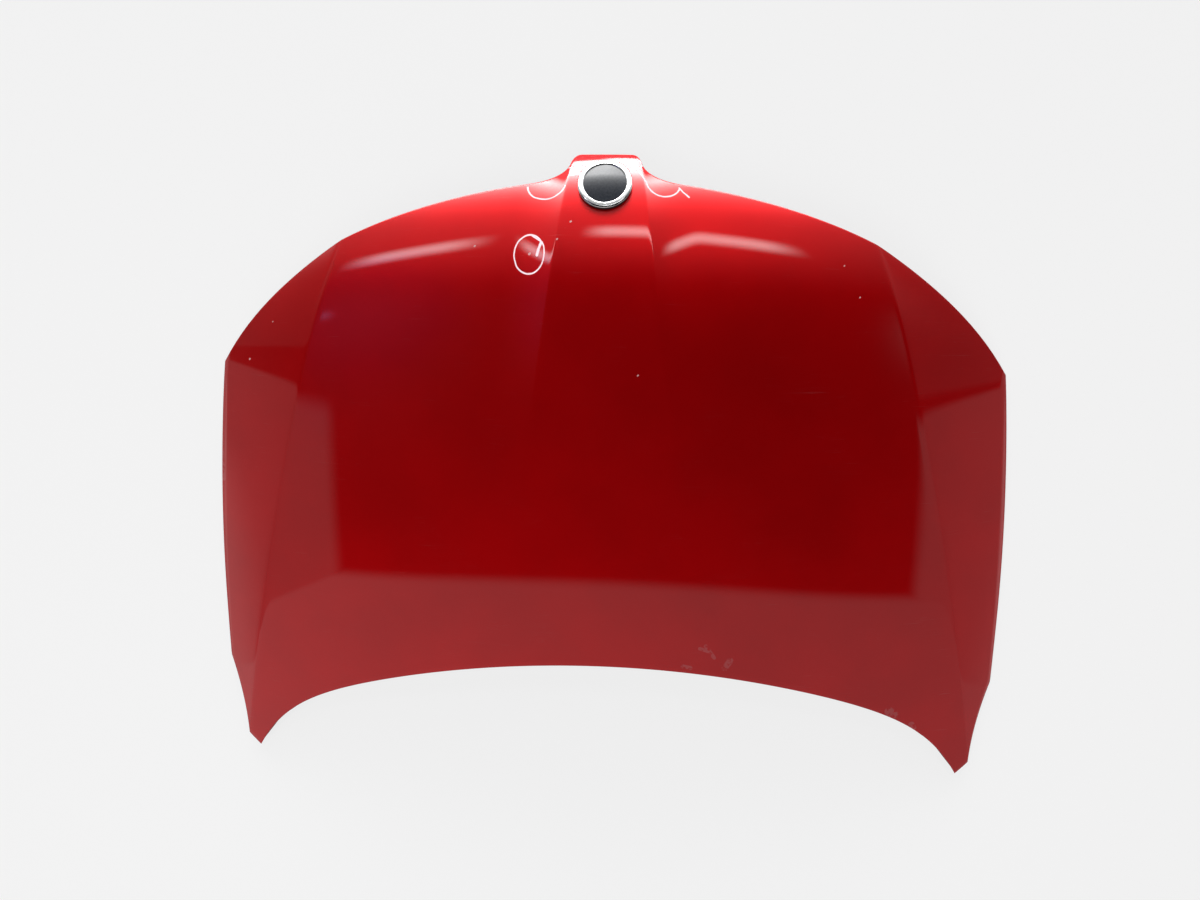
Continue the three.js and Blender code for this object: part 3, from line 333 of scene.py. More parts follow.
def half_net():
    """Developed places of the right half, from the centre line out to the side."""
    rows = 1 - (1 - np.linspace(0, 1, ROWS + 1)) ** ROW_CROWDING
    # Where the raised centre's edge, carried on, meets the rear edge
    rib_rear = rib_edge(0)
    for _ in range(6):
        rib_rear = rib_edge(rear_edge(rib_rear))
    fronts, rears, bows = [], [], []
    corner = ((NOSE_FLAT_HALF, LENGTH), (NOSE_HALF - NOSE_TAPER, LENGTH), (NOSE_HALF, NOSE_SIDE_T))
    fillet_middle = (NOSE_HALF + NOSE_FILLET, NOSE_FOOT[1] + NOSE_FILLET)
    fillet = ((NOSE_HALF, NOSE_SIDE_T), fillet_middle, NOSE_FOOT)
    grille = (NOSE_FOOT, GRILLE_SHOULDER, KINK)
    flat_share, fillet_share, field_share = 0.7, 0.25, 0.94
    for i in range(RIB_COLUMNS + 1):
        x = i / RIB_COLUMNS
        if x < flat_share:
            fronts.append(np.array([NOSE_FLAT_HALF * x / flat_share, LENGTH]))
        else:
            fronts.append(bezier(*corner, (x - flat_share) / (1 - flat_share)))
        rears.append((rib_rear * x, rear_edge(rib_rear * x)))
        bows.append(0)
    for i in range(1, FIELD_COLUMNS + 1):
        x = i / FIELD_COLUMNS
        x = lerp(x, x * x * (3 - 2 * x), EDGE_CROWDING)
        if x < fillet_share:
            fronts.append(bezier(*fillet, x / fillet_share))
        else:
            along = (x - fillet_share) / (1 - fillet_share)
            fronts.append(bezier(*grille, field_share * along))
        s = lerp(rib_rear, TIP_INNER_HALF, x)
        rears.append((s, rear_edge(s)))
        bows.append(x * x)
    for i in range(1, TIP_COLUMNS + 1):
        x = i / TIP_COLUMNS
        fronts.append(bezier(*grille, lerp(field_share, 1, x)))
        rears.append((lerp(TIP_INNER_HALF, TIP_HALF, x), lerp(TIP_END_T, -TIP_BACK, x)))
        bows.append(1)
    fronts, rears, bows = np.array(fronts), np.array(rears), np.array(bows)
    v = rows[:, None]
    net = rears[None] + (fronts - rears)[None] * v[..., None]
    net[..., 0] += CREASE_BOW * bows[None] * 4 * v * (1 - v)
    share = ((np.arange(1, FACET_COLUMNS + 1) / FACET_COLUMNS) ** FACET_CROWDING)[None]
    t = lerp(-TIP_BACK, CORNER_T, v)
    side = np.stack([side_edge(t), t], -1)
    facet = lerp(net[:, -1:], side, share[..., None])
    chord = np.array([HEADLAMP_WIDTH, CORNER_T - KINK[1]])
    chord = chord / np.linalg.norm(chord)
    bulge = HEADLAMP_BULGE * 4 * share * (1 - share) * v**4
    facet = facet + np.array([-chord[1], chord[0]]) * bulge[..., None]
    return np.concatenate([net, facet], 1)


def full_net():
    right = half_net()
    left = right[:, :0:-1] * np.array([-1, 1])
    return np.concatenate([left, right], 1)


def rim_indices(rows, columns):
    """The net's rim, anticlockwise from the left rear tip. A tip's facet starts at one point."""
    first, last = FACET_COLUMNS, columns - FACET_COLUMNS
    rear = list(range(first, last))
    right = [j * columns + columns - 1 for j in range(1, rows)]
    front = [(rows - 1) * columns + i for i in range(columns - 2, -1, -1)]
    left = [j * columns for j in range(rows - 2, 0, -1)]
    return np.array(rear + right + front + left)


def outward_of(loop):
    before = loop - np.roll(loop, 1, 0)
    after = np.roll(loop, -1, 0) - loop
    normals = []
    for edge in (before, after):
        normal = np.stack([edge[:, 1], -edge[:, 0]], -1)
        normals.append(normal / np.linalg.norm(normal, axis=1, keepdims=True))
    mean = normals[0] + normals[1]
    mean /= np.linalg.norm(mean, axis=1, keepdims=True)
    stretch = np.minimum(1 / np.sum(mean * normals[1], 1), RIM_STRETCH)
    return mean * stretch[:, None]


def room_inside(loop, outward, most):
    """How far each rim point can move inwards before it nears another part of the rim."""
    starts, edges = loop, np.roll(loop, -1, 0) - loop
    lengths = np.sum(edges**2, 1)
    room = np.zeros(len(loop))
    open_still = np.ones(len(loop), bool)
    for x in range(1, most + 1):
        moved = loop - outward * x
        gap = moved[:, None] - starts[None]
        share = np.clip(np.sum(gap * edges[None], 2) / lengths, 0, 1)
        nearest = np.linalg.norm(gap - share[..., None] * edges[None], axis=2).min(1)
        open_still &= nearest > 0.9 * x
        room[open_still] = x
    half = 3
    window = 2 * half + 1
    return np.convolve(np.pad(room * ROOM_SHARE, half, mode="wrap"), np.ones(window) / window, "valid")


def quads_between(first, second):
    after = np.roll(np.arange(len(first)), -1)
    return np.stack([first, second, second[after], first[after]], 1)


def mesh_object(name, vertices, faces, places=None, smooth_angle=35):
    mesh = bpy.data.meshes.new(name)
    mesh.from_pydata([tuple(v) for v in vertices], [], [tuple(int(k) for k in f) for f in faces])
    if places is not None:
        attribute = mesh.attributes.new("sheet_place", "FLOAT_VECTOR", "POINT")
        attribute.data.foreach_set("vector", np.asarray(places, np.float32).ravel())
    mesh.validate()
    mesh.polygons.foreach_set("use_smooth", [True] * len(mesh.polygons))
    mesh.set_sharp_from_angle(angle=math.radians(smooth_angle))
    piece = bpy.data.objects.new(name, mesh)
    bpy.context.scene.collection.objects.link(piece)
    return piece


def finish_piece(piece, material, slot, *nodes):
    piece.data.materials.append(material)
    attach(piece, "root")
    if nodes:
        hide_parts(*nodes)
    return piece


# Shader nodes


def add_node(tree, kind, inputs=None, **settings):
    node = tree.nodes.new(kind)
    for key, value in settings.items():
        setattr(node, key, value)
    for key, value in (inputs or {}).items():
        if isinstance(value, bpy.types.NodeSocket):
            tree.links.new(value, node.inputs[key])
        else:
            node.inputs[key].default_value = value
    return node


def math_node(tree, operation, *values, clamp=False):
    inputs = dict(enumerate(values))
    return add_node(tree, "ShaderNodeMath", inputs, operation=operation, use_clamp=clamp).outputs[0]


def vector_math(tree, operation, *values):
    node = add_node(tree, "ShaderNodeVectorMath", dict(enumerate(values)), operation=operation)
    scalar = operation in ("LENGTH", "DOT_PRODUCT", "DISTANCE")
    return node.outputs["Value" if scalar else "Vector"]


def ramp(tree, value, low, high, from_low=0.0, to_high=1.0):
    node = add_node(
        tree,
        "ShaderNodeMapRange",
        {"Value": value, "From Min": low, "From Max": high, "To Min": from_low, "To Max": to_high},
        interpolation_type="SMOOTHSTEP",
    )
    return node.outputs["Result"]


def noise(tree, place, scale, detail=2.0, roughness=0.5):
    inputs = {"Vector": place, "Scale": scale, "Detail": detail, "Roughness": roughness}
    return add_node(tree, "ShaderNodeTexNoise", inputs).outputs["Fac"]


def mix_colour(tree, factor, first, second):
    node = add_node(tree, "ShaderNodeMix", data_type="RGBA")
    node.clamp_factor = True
    for key, value in (("Factor", factor), ("A", first), ("B", second)):
        socket = next(s for s in node.inputs if s.name == key and (key == "Factor" or s.type == "RGBA"))
        if isinstance(value, bpy.types.NodeSocket):
            tree.links.new(value, socket)
        elif key == "Factor":
            socket.default_value = value
        else:
            socket.default_value = (*value, 1)
    return next(s for s in node.outputs if s.type == "RGBA")


def new_group(name, inputs, outputs):
    tree = bpy.data.node_groups.new(name, "ShaderNodeTree")
    for label, kind, default in inputs:
        socket = tree.interface.new_socket(label, in_out="INPUT", socket_type=kind)
        if default is not None:
            socket.default_value = default
    for label, kind in outputs:
        tree.interface.new_socket(label, in_out="OUTPUT", socket_type=kind)
    source = tree.nodes.new("NodeGroupInput").outputs
    target = tree.nodes.new("NodeGroupOutput").inputs
    return tree, source, target


def use_group(tree, group, inputs):
    return add_node(tree, "ShaderNodeGroup", inputs, node_tree=group).outputs


def named_group(name, build):
    return bpy.data.node_groups.get(name) or build(name)


def highest(tree, masks):
    return functools.reduce(lambda a, b: math_node(tree, "MAXIMUM", a, b), masks)


def sum_of_squares(tree, x, y):
    return math_node(tree, "ADD", math_node(tree, "MULTIPLY", x, x), math_node(tree, "MULTIPLY", y, y))


def build_stroke(name):
    """1 on a line of the given half width from Start to End, fading at its edge."""
    inputs = [
        ("Place", "NodeSocketVector", None),
        ("Start", "NodeSocketVector", None),
        ("End", "NodeSocketVector", None),
        ("Half Width", "NodeSocketFloat", 0.002),
    ]
    tree, source, target = new_group(name, inputs, [("Mask", "NodeSocketFloat")])
    offset = vector_math(tree, "SUBTRACT", source["Place"], source["Start"])
    line = vector_math(tree, "SUBTRACT", source["End"], source["Start"])
    along = vector_math(tree, "DOT_PRODUCT", offset, line)
    length = vector_math(tree, "DOT_PRODUCT", line, line)
    share = math_node(tree, "DIVIDE", along, length, clamp=True)
    nearest = add_node(tree, "ShaderNodeVectorMath", {0: line, "Scale": share}, operation="SCALE")
    distance = vector_math(tree, "DISTANCE", offset, nearest.outputs["Vector"])
    inside = math_node(tree, "DIVIDE", distance, source["Half Width"])
    tree.links.new(ramp(tree, inside, 1.0, 0.65), target["Mask"])
    return tree


def build_arc(name):
    """1 on an elliptic arc of the given half width, fading at its edge. Angles are in radians."""
    inputs = [
        ("Place", "NodeSocketVector", None),
        ("Centre", "NodeSocketVector", None),
        ("Radii", "NodeSocketVector", None),
        ("Middle Angle", "NodeSocketFloat", 0.0),
        ("Half Span", "NodeSocketFloat", 3.2),
        ("Half Width", "NodeSocketFloat", 0.002),
    ]
    tree, source, target = new_group(name, inputs, [("Mask", "NodeSocketFloat")])
    offset = vector_math(tree, "SUBTRACT", source["Place"], source["Centre"])
    relative = vector_math(tree, "DIVIDE", offset, source["Radii"])
    x, y, _ = add_node(tree, "ShaderNodeSeparateXYZ", {"Vector": relative}).outputs
    width, height, _ = add_node(tree, "ShaderNodeSeparateXYZ", {"Vector": source["Radii"]}).outputs
    size = math_node(tree, "MULTIPLY", math_node(tree, "ADD", width, height), 0.5)
    radius = math_node(tree, "SQRT", sum_of_squares(tree, x, y))
    beside = math_node(tree, "ABSOLUTE", math_node(tree, "SUBTRACT", radius, 1.0))
    distance = math_node(tree, "MULTIPLY", beside, size)
    on_line = ramp(tree, math_node(tree, "DIVIDE", distance, source["Half Width"]), 1.0, 0.65)
    angle = math_node(tree, "SUBTRACT", math_node(tree, "ARCTAN2", y, x), source["Middle Angle"])
    angle = math_node(tree, "WRAP", angle, math.pi, -math.pi)
    within = math_node(tree, "LESS_THAN", math_node(tree, "ABSOLUTE", angle), source["Half Span"])
    tree.links.new(math_node(tree, "MULTIPLY", on_line, within), target["Mask"])
    return tree


def stroke_mask(tree, place, start, end, half_width):
    """A drawn line between two developed places, given in millimetres."""
    ends = {
        "Place": place,
        "Start": (start[0] / 1000, start[1] / 1000, 0),
        "End": (end[0] / 1000, end[1] / 1000, 0),
        "Half Width": half_width / 1000,
    }
    return use_group(tree, named_group("Drawn line", build_stroke), ends)["Mask"]


# Marker pen round the damage, in millimetres and degrees on the developed surface. An arc has its
# half width, centre, radii and ends, and a line its half width and points.
MARKER_ARCS = [
    (1.5, (-120, 714), (25, 32.5), 0, 360),
    (1.5, (-97, 836), (32, 27), 180, 350),
    (1.4, (46, 874), (13.5, 10.5), 0, 360),
    (1.5, (95, 842), (28, 27), 190, 345),
]
MARKER_LINES = [
    (1.4, [(-116, 745), (-99, 733)]),
    (2.6, [(-101, 732), (-105, 722), (-107, 712)]),
    (1.4, [(-61, 866), (-50, 869), (-33, 870)]),
    (1.4, [(-60, 850), (-42, 854)]),
    (1.5, [(52, 864), (67, 838)]),
    (1.5, [(121, 835), (126, 828), (137, 818)]),
]


def build_marker(name):
    tree, source, target = new_group(
        name, [("Place", "NodeSocketVector", None)], [("Mask", "NodeSocketFloat")]
    )
    arc = named_group("Drawn arc", build_arc)
    wobble = add_node(tree, "ShaderNodeTexNoise", {"Vector": source["Place"], "Scale": 60.0})
    centred = vector_math(tree, "SUBTRACT", wobble.outputs["Color"], (0.5, 0.5, 0.5))
    small = add_node(tree, "ShaderNodeVectorMath", {0: centred, "Scale": 0.002}, operation="SCALE")
    place = vector_math(tree, "ADD", source["Place"], small.outputs["Vector"])
    masks = []
    for half_width, (s, t), (across, along), start, end in MARKER_ARCS:
        shape = {
            "Place": place,
            "Centre": (s / 1000, t / 1000, 0),
            "Radii": (across / 1000, along / 1000, 1),
            "Middle Angle": math.radians((start + end) / 2),
            "Half Span": math.radians((end - start) / 2) + 0.001,
            "Half Width": half_width / 1000,
        }
        masks.append(use_group(tree, arc, shape)["Mask"])
    for half_width, line in MARKER_LINES:
        for start, end in zip(line, line[1:]):
            masks.append(stroke_mask(tree, place, start, end, half_width))
    patchy = ramp(tree, noise(tree, source["Place"], 900.0), 0.2, 0.45, 0.75, 1.0)
    tree.links.new(math_node(tree, "MULTIPLY", highest(tree, masks), patchy), target["Mask"])
    return tree


# Chips seen one by one: developed place and radius in millimetres
CHIPS = [
    (-120, 714, 2.2),
    (-54, 765, 1.6),
    (-75, 736, 1.4),
    (-212, 729, 1.6),
    (60, 520, 1.4),
    (-640, 525, 2.0),
    (-586, 600, 1.2),
    (391, 709, 1.2),
    (418, 655, 1.2),
]
# Dried stains: developed ends and half width of each in millimetres
STAINS = [
    (178, 38, 192, 33, 4),
    (188, 43, 204, 20, 4),
    (232, 14, 224, 0, 7),
    (150, 3, 162, 0, 5),
    (528, -102, 538, -110, 10),
    (574, -134, 579, -144, 7),
    (-716, 290, -718, 380, 6),
]


def build_wear(name):
    """Stone chips, hairline scratches, dried stains and dust of a used panel."""
    inputs = [
        ("Place", "NodeSocketVector", None),
        ("Chips per Metre", "NodeSocketFloat", 9.0),
        ("Dust", "NodeSocketFloat", 0.5),
    ]
    outputs = [(label, "NodeSocketFloat") for label in ("Chips", "Scratches", "Stains", "Dust")]
    tree, source, target = new_group(name, inputs, outputs)
    place = source["Place"]

    cells = add_node(
        tree, "ShaderNodeTexVoronoi", {"Vector": place, "Scale": source["Chips per Metre"]}
    )
    chance = add_node(tree, "ShaderNodeSeparateColor", {"Color": cells.outputs["Color"]}).outputs
    radius = math_node(tree, "MULTIPLY", chance["Green"], 0.012)
    kept = math_node(tree, "GREATER_THAN", chance["Red"], 0.55)
    speck = math_node(tree, "LESS_THAN", cells.outputs["Distance"], radius)
    chips = [math_node(tree, "MULTIPLY", speck, kept)]
    for s, t, size in CHIPS:
        chips.append(stroke_mask(tree, place, (s, t), (s + 1, t + 1), size))
    tree.links.new(highest(tree, chips), target["Chips"])

    scratches = []
    for turn, scale in ((0.3, 5.0), (1.9, 7.0), (2.6, 4.0)):
        turned = add_node(
            tree,
            "ShaderNodeMapping",
            {"Vector": place, "Rotation": (0, 0, turn), "Scale": (1.0, 40.0, 1.0)},
        ).outputs["Vector"]
        hair = noise(tree, turned, scale, 1.0)
        line = math_node(tree, "ABSOLUTE", math_node(tree, "SUBTRACT", hair, 0.5))
        thin = ramp(tree, line, 0.004, 0.0)
        where = ramp(tree, noise(tree, place, scale * 1.7 + turn, 1.0), 0.56, 0.68)
        scratches.append(math_node(tree, "MULTIPLY", thin, where))
    tree.links.new(highest(tree, scratches), target["Scratches"])

    stains = [stroke_mask(tree, place, (s0, t0), (s1, t1), size) for s0, t0, s1, t1, size in STAINS]
    ragged = ramp(tree, noise(tree, place, 110.0, 3.0, 0.6), 0.42, 0.52)
    tree.links.new(math_node(tree, "MULTIPLY", highest(tree, stains), ragged), target["Stains"])

    cloud = ramp(tree, noise(tree, place, 3.5, 5.0, 0.6), 0.35, 0.8)
    grain = ramp(tree, noise(tree, place, 700.0, 1.0), 0.4, 0.75)
    dust = math_node(tree, "MULTIPLY", cloud, grain)
    tree.links.new(math_node(tree, "MULTIPLY", dust, source["Dust"]), target["Dust"])
    return tree


def build_peel(name):
    """Height of the fine ripple that sprayed clear coat dries with."""
    inputs = [("Place", "NodeSocketVector", None), ("Ripple Size", "NodeSocketFloat", 0.0025)]
    tree, source, target = new_group(name, inputs, [("Height", "NodeSocketFloat")])
    scale = math_node(tree, "DIVIDE", 1.0, source["Ripple Size"])
    broad = math_node(tree, "MULTIPLY", scale, 0.25)
    fine = noise(tree, source["Place"], scale, 1.0)
    wide = noise(tree, source["Place"], broad, 1.0)
    height = math_node(tree, "ADD", fine, math_node(tree, "MULTIPLY", wide, 2.0))
    tree.links.new(height, target["Height"])
    return tree


def new_material(name):
    material = bpy.data.materials.new(name)
    material.use_nodes = True
    tree = material.node_tree
    shader = next(n for n in tree.nodes if n.type == "BSDF_PRINCIPLED")
    return material, tree, shader


def set_shader(tree, shader, **values):
    for key, value in values.items():
        socket = shader.inputs[key.replace("_", " ")]
        if isinstance(value, bpy.types.NodeSocket):
            tree.links.new(value, socket)
        elif socket.type == "RGBA":
            socket.default_value = (*value, 1)
        else:
            socket.default_value = value


def object_place(tree):
    return add_node(tree, "ShaderNodeTexCoord").outputs["Object"]


def outer_paint(settings):
    material, tree, shader = new_material("Red clear-coated paint")
    place = add_node(tree, "ShaderNodeAttribute", attribute_name="sheet_place").outputs["Vector"]
    side = add_node(tree, "ShaderNodeSeparateXYZ", {"Vector": place}).outputs["Z"]
    outside = ramp(tree, side, 0.0, UNDERSIDE, 1.0, 0.0)
    used = use_group(tree, named_group("Used paint", build_wear), {"Place": place})
    wear = {label: math_node(tree, "MULTIPLY", mask, outside) for label, mask in used.items()}
    drawn = use_group(tree, named_group("Marker lines", build_marker), {"Place": place})["Mask"]
    marker = math_node(tree, "MULTIPLY", drawn, outside)
    ripple = {"Place": object_place(tree), "Ripple Size": 0.003}
    peel = use_group(tree, named_group("Orange peel", build_peel), ripple)["Height"]
    tint = ramp(tree, noise(tree, place, 6.0, 3.0), 0.3, 0.7)
    colour = tuple(settings.colour)
    deeper = tuple(c * 0.9 for c in colour)
    shade = mix_colour(tree, tint, colour, deeper)
    looks = {"Dust": DUST_LOOK, "Scratches": SCRATCH_LOOK, "Stains": STAIN_LOOK}
    for label, (share, own_colour) in looks.items():
        shade = mix_colour(tree, math_node(tree, "MULTIPLY", wear[label], share), shade, own_colour)
    shade = mix_colour(tree, wear["Chips"], shade, CHIP_COLOUR)
    shade = mix_colour(tree, marker, shade, tuple(settings.marker_colour))
    matt = math_node(tree, "MAXIMUM", wear["Chips"], marker)
    dull = math_node(tree, "MAXIMUM", matt, math_node(tree, "MULTIPLY", wear["Stains"], STAIN_DULLING))
    coat = math_node(tree, "SUBTRACT", 1.0, dull, clamp=True)
    flake = math_node(tree, "MULTIPLY", math_node(tree, "SUBTRACT", 1.0, matt), settings.flake)
    height = math_node(tree, "SUBTRACT", peel, math_node(tree, "MULTIPLY", wear["Chips"], CHIP_DEPTH))
    bump = add_node(
        tree,
        "ShaderNodeBump",
        {"Height": height, "Strength": settings.orange_peel, "Distance": 0.001},
    )
    set_shader(
        tree,
        shader,
        Base_Color=shade,
        Metallic=flake,
        Roughness=0.36,
        Specular_IOR_Level=0.05,
        Coat_Weight=coat,
        Coat_Roughness=settings.coat_roughness,
        Coat_IOR=1.5,
        Normal=bump.outputs["Normal"],
    )
    return material


def inner_paint(name, colour, roughness, speck):
    material, tree, shader = new_material(name)
    place = object_place(tree)
    cloud = ramp(tree, noise(tree, place, 9.0, 4.0, 0.6), 0.35, 0.7)
    dusty = math_node(tree, "MULTIPLY", cloud, 0.25)
    shade = mix_colour(tree, dusty, colour, speck)
    rough = ramp(tree, noise(tree, place, 22.0, 3.0), 0.3, 0.7, roughness - 0.08, roughness + 0.1)
    set_shader(tree, shader, Base_Color=shade, Roughness=rough)
    return material


def metal(name, colour, roughness, grain=0.08):
    material, tree, shader = new_material(name)
    place = object_place(tree)
    rough = ramp(tree, noise(tree, place, 160.0, 3.0), 0.3, 0.7, roughness - grain, roughness + grain)
    darker = tuple(c * 0.8 for c in colour)
    shade = mix_colour(tree, ramp(tree, noise(tree, place, 60.0, 3.0), 0.35, 0.7), colour, darker)
    set_shader(tree, shader, Base_Color=shade, Roughness=rough, Metallic=1.0)
    return material


def plain(name, colour, roughness, grain=0.05):
    material, tree, shader = new_material(name)
    place = object_place(tree)
    rough = ramp(tree, noise(tree, place, 120.0, 3.0), 0.3, 0.7, roughness - grain, roughness + grain)
    paler = tuple(c * 1.35 + 0.004 for c in colour)
    shade = mix_colour(tree, ramp(tree, noise(tree, place, 40.0, 4.0), 0.3, 0.75), colour, paler)
    set_shader(tree, shader, Base_Color=shade, Roughness=rough)
    return material


def dress_node(name, material):
    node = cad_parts[name]
    for slot in node.material_slots:
        slot.link = "OBJECT"
        slot.material = material


# Pieces


def build_sheet(settings):
    """Fine skin with a folded hem: the sheet, then its vertices, faces and developed places."""
    sheet = Sheet(settings)
    net = full_net()
    rows, columns = net.shape[:2]
    flat = net.reshape(-1, 2)
    top = sheet.point(flat[:, 0], flat[:, 1])
    bottom = sheet.place(flat[:, 0], flat[:, 1], np.full(len(flat), SKIN_THICKNESS))
    rim = rim_indices(rows, columns)
    loop = flat[rim]
    outward = outward_of(loop)
    room = room_inside(loop, outward, math.ceil(HEM_WIDTH / ROOM_SHARE) + 2)
    fold = []
    for k in range(1, FOLD_STEPS + 1):
        angle = math.pi * k / FOLD_STEPS
        fold.append((-HEM_BULGE * math.sin(angle), HEM_DEPTH / 2 * (1 - math.cos(angle))))
    fold += [(HEM_WIDTH, HEM_DEPTH), (HEM_WIDTH, HEM_RISE), (0, HEM_RISE)]
    vertices, places = [top, bottom], [flat, flat]
    count = 2 * len(flat)
    rings = [rim]
    for inset, depth in fold:
        moved = loop - outward * np.minimum(inset, room)[:, None]
        vertices.append(sheet.place(moved[:, 0], moved[:, 1], np.full(len(loop), depth)))
        places.append(moved)
        rings.append(np.arange(count, count + len(loop)))
        count += len(loop)
    rings.append(rim + len(flat))
    index = np.arange(rows * columns).reshape(rows, columns)
    cells = np.stack([index[:-1, :-1], index[:-1, 1:], index[1:, 1:], index[1:, :-1]], -1)
    cells = cells.reshape(-1, 4)
    faces = [cells, cells[:, ::-1] + len(flat)]
    faces += [quads_between(a, b) for a, b in zip(rings, rings[1:])]
    vertices = np.concatenate(vertices)
    # The fine sheet is centred on the solid one and keeps inside its box.
    low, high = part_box("outer_skin")
    middle = (vertices[:, 1].min() + vertices[:, 1].max()) / 2
    sheet.shift = np.array([0, (low[1] + high[1]) / 2 - middle, high[2] - vertices[:, 2].max()])
    vertices = vertices + sheet.shift
    vertices[:, 2] = np.maximum(vertices[:, 2], low[2])
    side = np.full(len(vertices), UNDERSIDE)
    side[: len(flat)] = 0
    places = np.column_stack([np.concatenate(places) / 1000, side])
    faces = np.concatenate(faces)
    return sheet, *merged(vertices, faces, places)


def merged(vertices, faces, places):
    """Joins vertices that lie together and drops faces that shrink to a line."""
    keys = np.round(vertices, SAME_PLACE_DIGITS)
    _, first, same = np.unique(keys, axis=0, return_index=True, return_inverse=True)
    same = same.ravel()
    kept = []
    for face in same[faces]:
        corners = list(dict.fromkeys(face))
        if len(corners) > 2:
            kept.append(corners)
    return vertices[first], kept, places[first]


def turned_on_sheet(sheet, profile, s, t, segments=BADGE_SEGMENTS):
    """A turned piece that follows the sheet. The profile holds radius and height above the skin."""
    profile = np.array(profile, float)
    turn = np.arange(segments) * 2 * np.pi / segments
    radius = profile[:, 0][:, None]
    across = s + radius * np.cos(turn)[None]
    along = t + radius * np.sin(turn)[None]
    height = np.repeat(profile[:, 1][:, None], segments, 1)
    vertices = sheet.place(across.ravel(), along.ravel(), -height.ravel())
    index = np.arange(len(vertices)).reshape(len(profile), segments)
    faces = np.concatenate([quads_between(a, b) for a, b in zip(index, index[1:])])
    places = np.column_stack([across.ravel() / 1000, along.ravel() / 1000, height.ravel() / 1000])
    return merged(vertices, faces[:, ::-1], places)


def arc_profile(points, steps=5):
    """A profile with its corners rounded: each point holds radius, height and corner size."""
    rounded = []
    for k, (x, y, size) in enumerate(points):
        here = np.array([x, y])
        if not size or k in (0, len(points) - 1):
            rounded.append(here)
            continue
        before = np.array(points[k - 1][:2]) - here
        after = np.array(points[k + 1][:2]) - here
        start = here + before / np.linalg.norm(before) * size
        end = here + after / np.linalg.norm(after) * size
        rounded.extend(bezier(start, here, end, np.linspace(0, 1, steps)))
    return rounded


class PieceOperator:
    bl_options = {"REGISTER", "UNDO"}


class BONNET_OT_outer_skin(PieceOperator, bpy.types.Operator):
    """Build the fine painted skin with its folded hem"""

    bl_idname = "bonnet.outer_skin"
    bl_label = "Outer skin"

    def execute(self, context):
        scene = context.scene
        _, vertices, faces, places = build_sheet(scene.bonnet_sheet)
        piece = mesh_object("skin_painted", vertices, faces, places)
        finish_piece(piece, outer_paint(scene.bonnet_paint), "outer_paint", "outer_skin")
        return {"FINISHED"}


class BONNET_OT_inner_panel(PieceOperator, bpy.types.Operator):
    """Finish the inner panel, its reinforcements and the sealant between the sheets"""

    bl_idname = "bonnet.inner_panel"
    bl_label = "Inner panel"

    def execute(self, context):
        colour = tuple(context.scene.bonnet_paint.under_colour)
        paint = inner_paint("Thin inner paint", colour, 0.42, (0.20, 0.05, 0.045))
        primer = inner_paint("Dip primer", (0.09, 0.095, 0.10), 0.55, (0.13, 0.12, 0.11))
        sealant = plain("Sealant", (0.58, 0.54, 0.45), 0.75)
        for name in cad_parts:
            if name == "inner_panel":
                dress_node(name, paint)
            elif "reinforcement" in name:
                dress_node(name, primer)
            elif name.startswith("sealant"):
                dress_node(name, sealant)
        return {"FINISHED"}


class BONNET_OT_fittings(PieceOperator, bpy.types.Operator):
    """Finish the striker, nuts, bolts, clips, buffers and grommet"""

    bl_idname = "bonnet.fittings"
    bl_label = "Fittings"

    def execute(self, context):
        zinc = metal("Zinc plate", (0.56, 0.54, 0.48), 0.38)
        rubber = plain("Rubber", (0.018, 0.018, 0.018), 0.75)
        plastic = plain("Black plastic", (0.02, 0.02, 0.022), 0.5)
        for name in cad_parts:
            if "nut" in name or "clip" in name or (name.startswith("striker") and "reinf" not in name):
                dress_node(name, zinc)
            elif "buffer" in name:
                dress_node(name, rubber)
            elif name == "stay_grommet":
                dress_node(name, plastic)
        return {"FINISHED"}


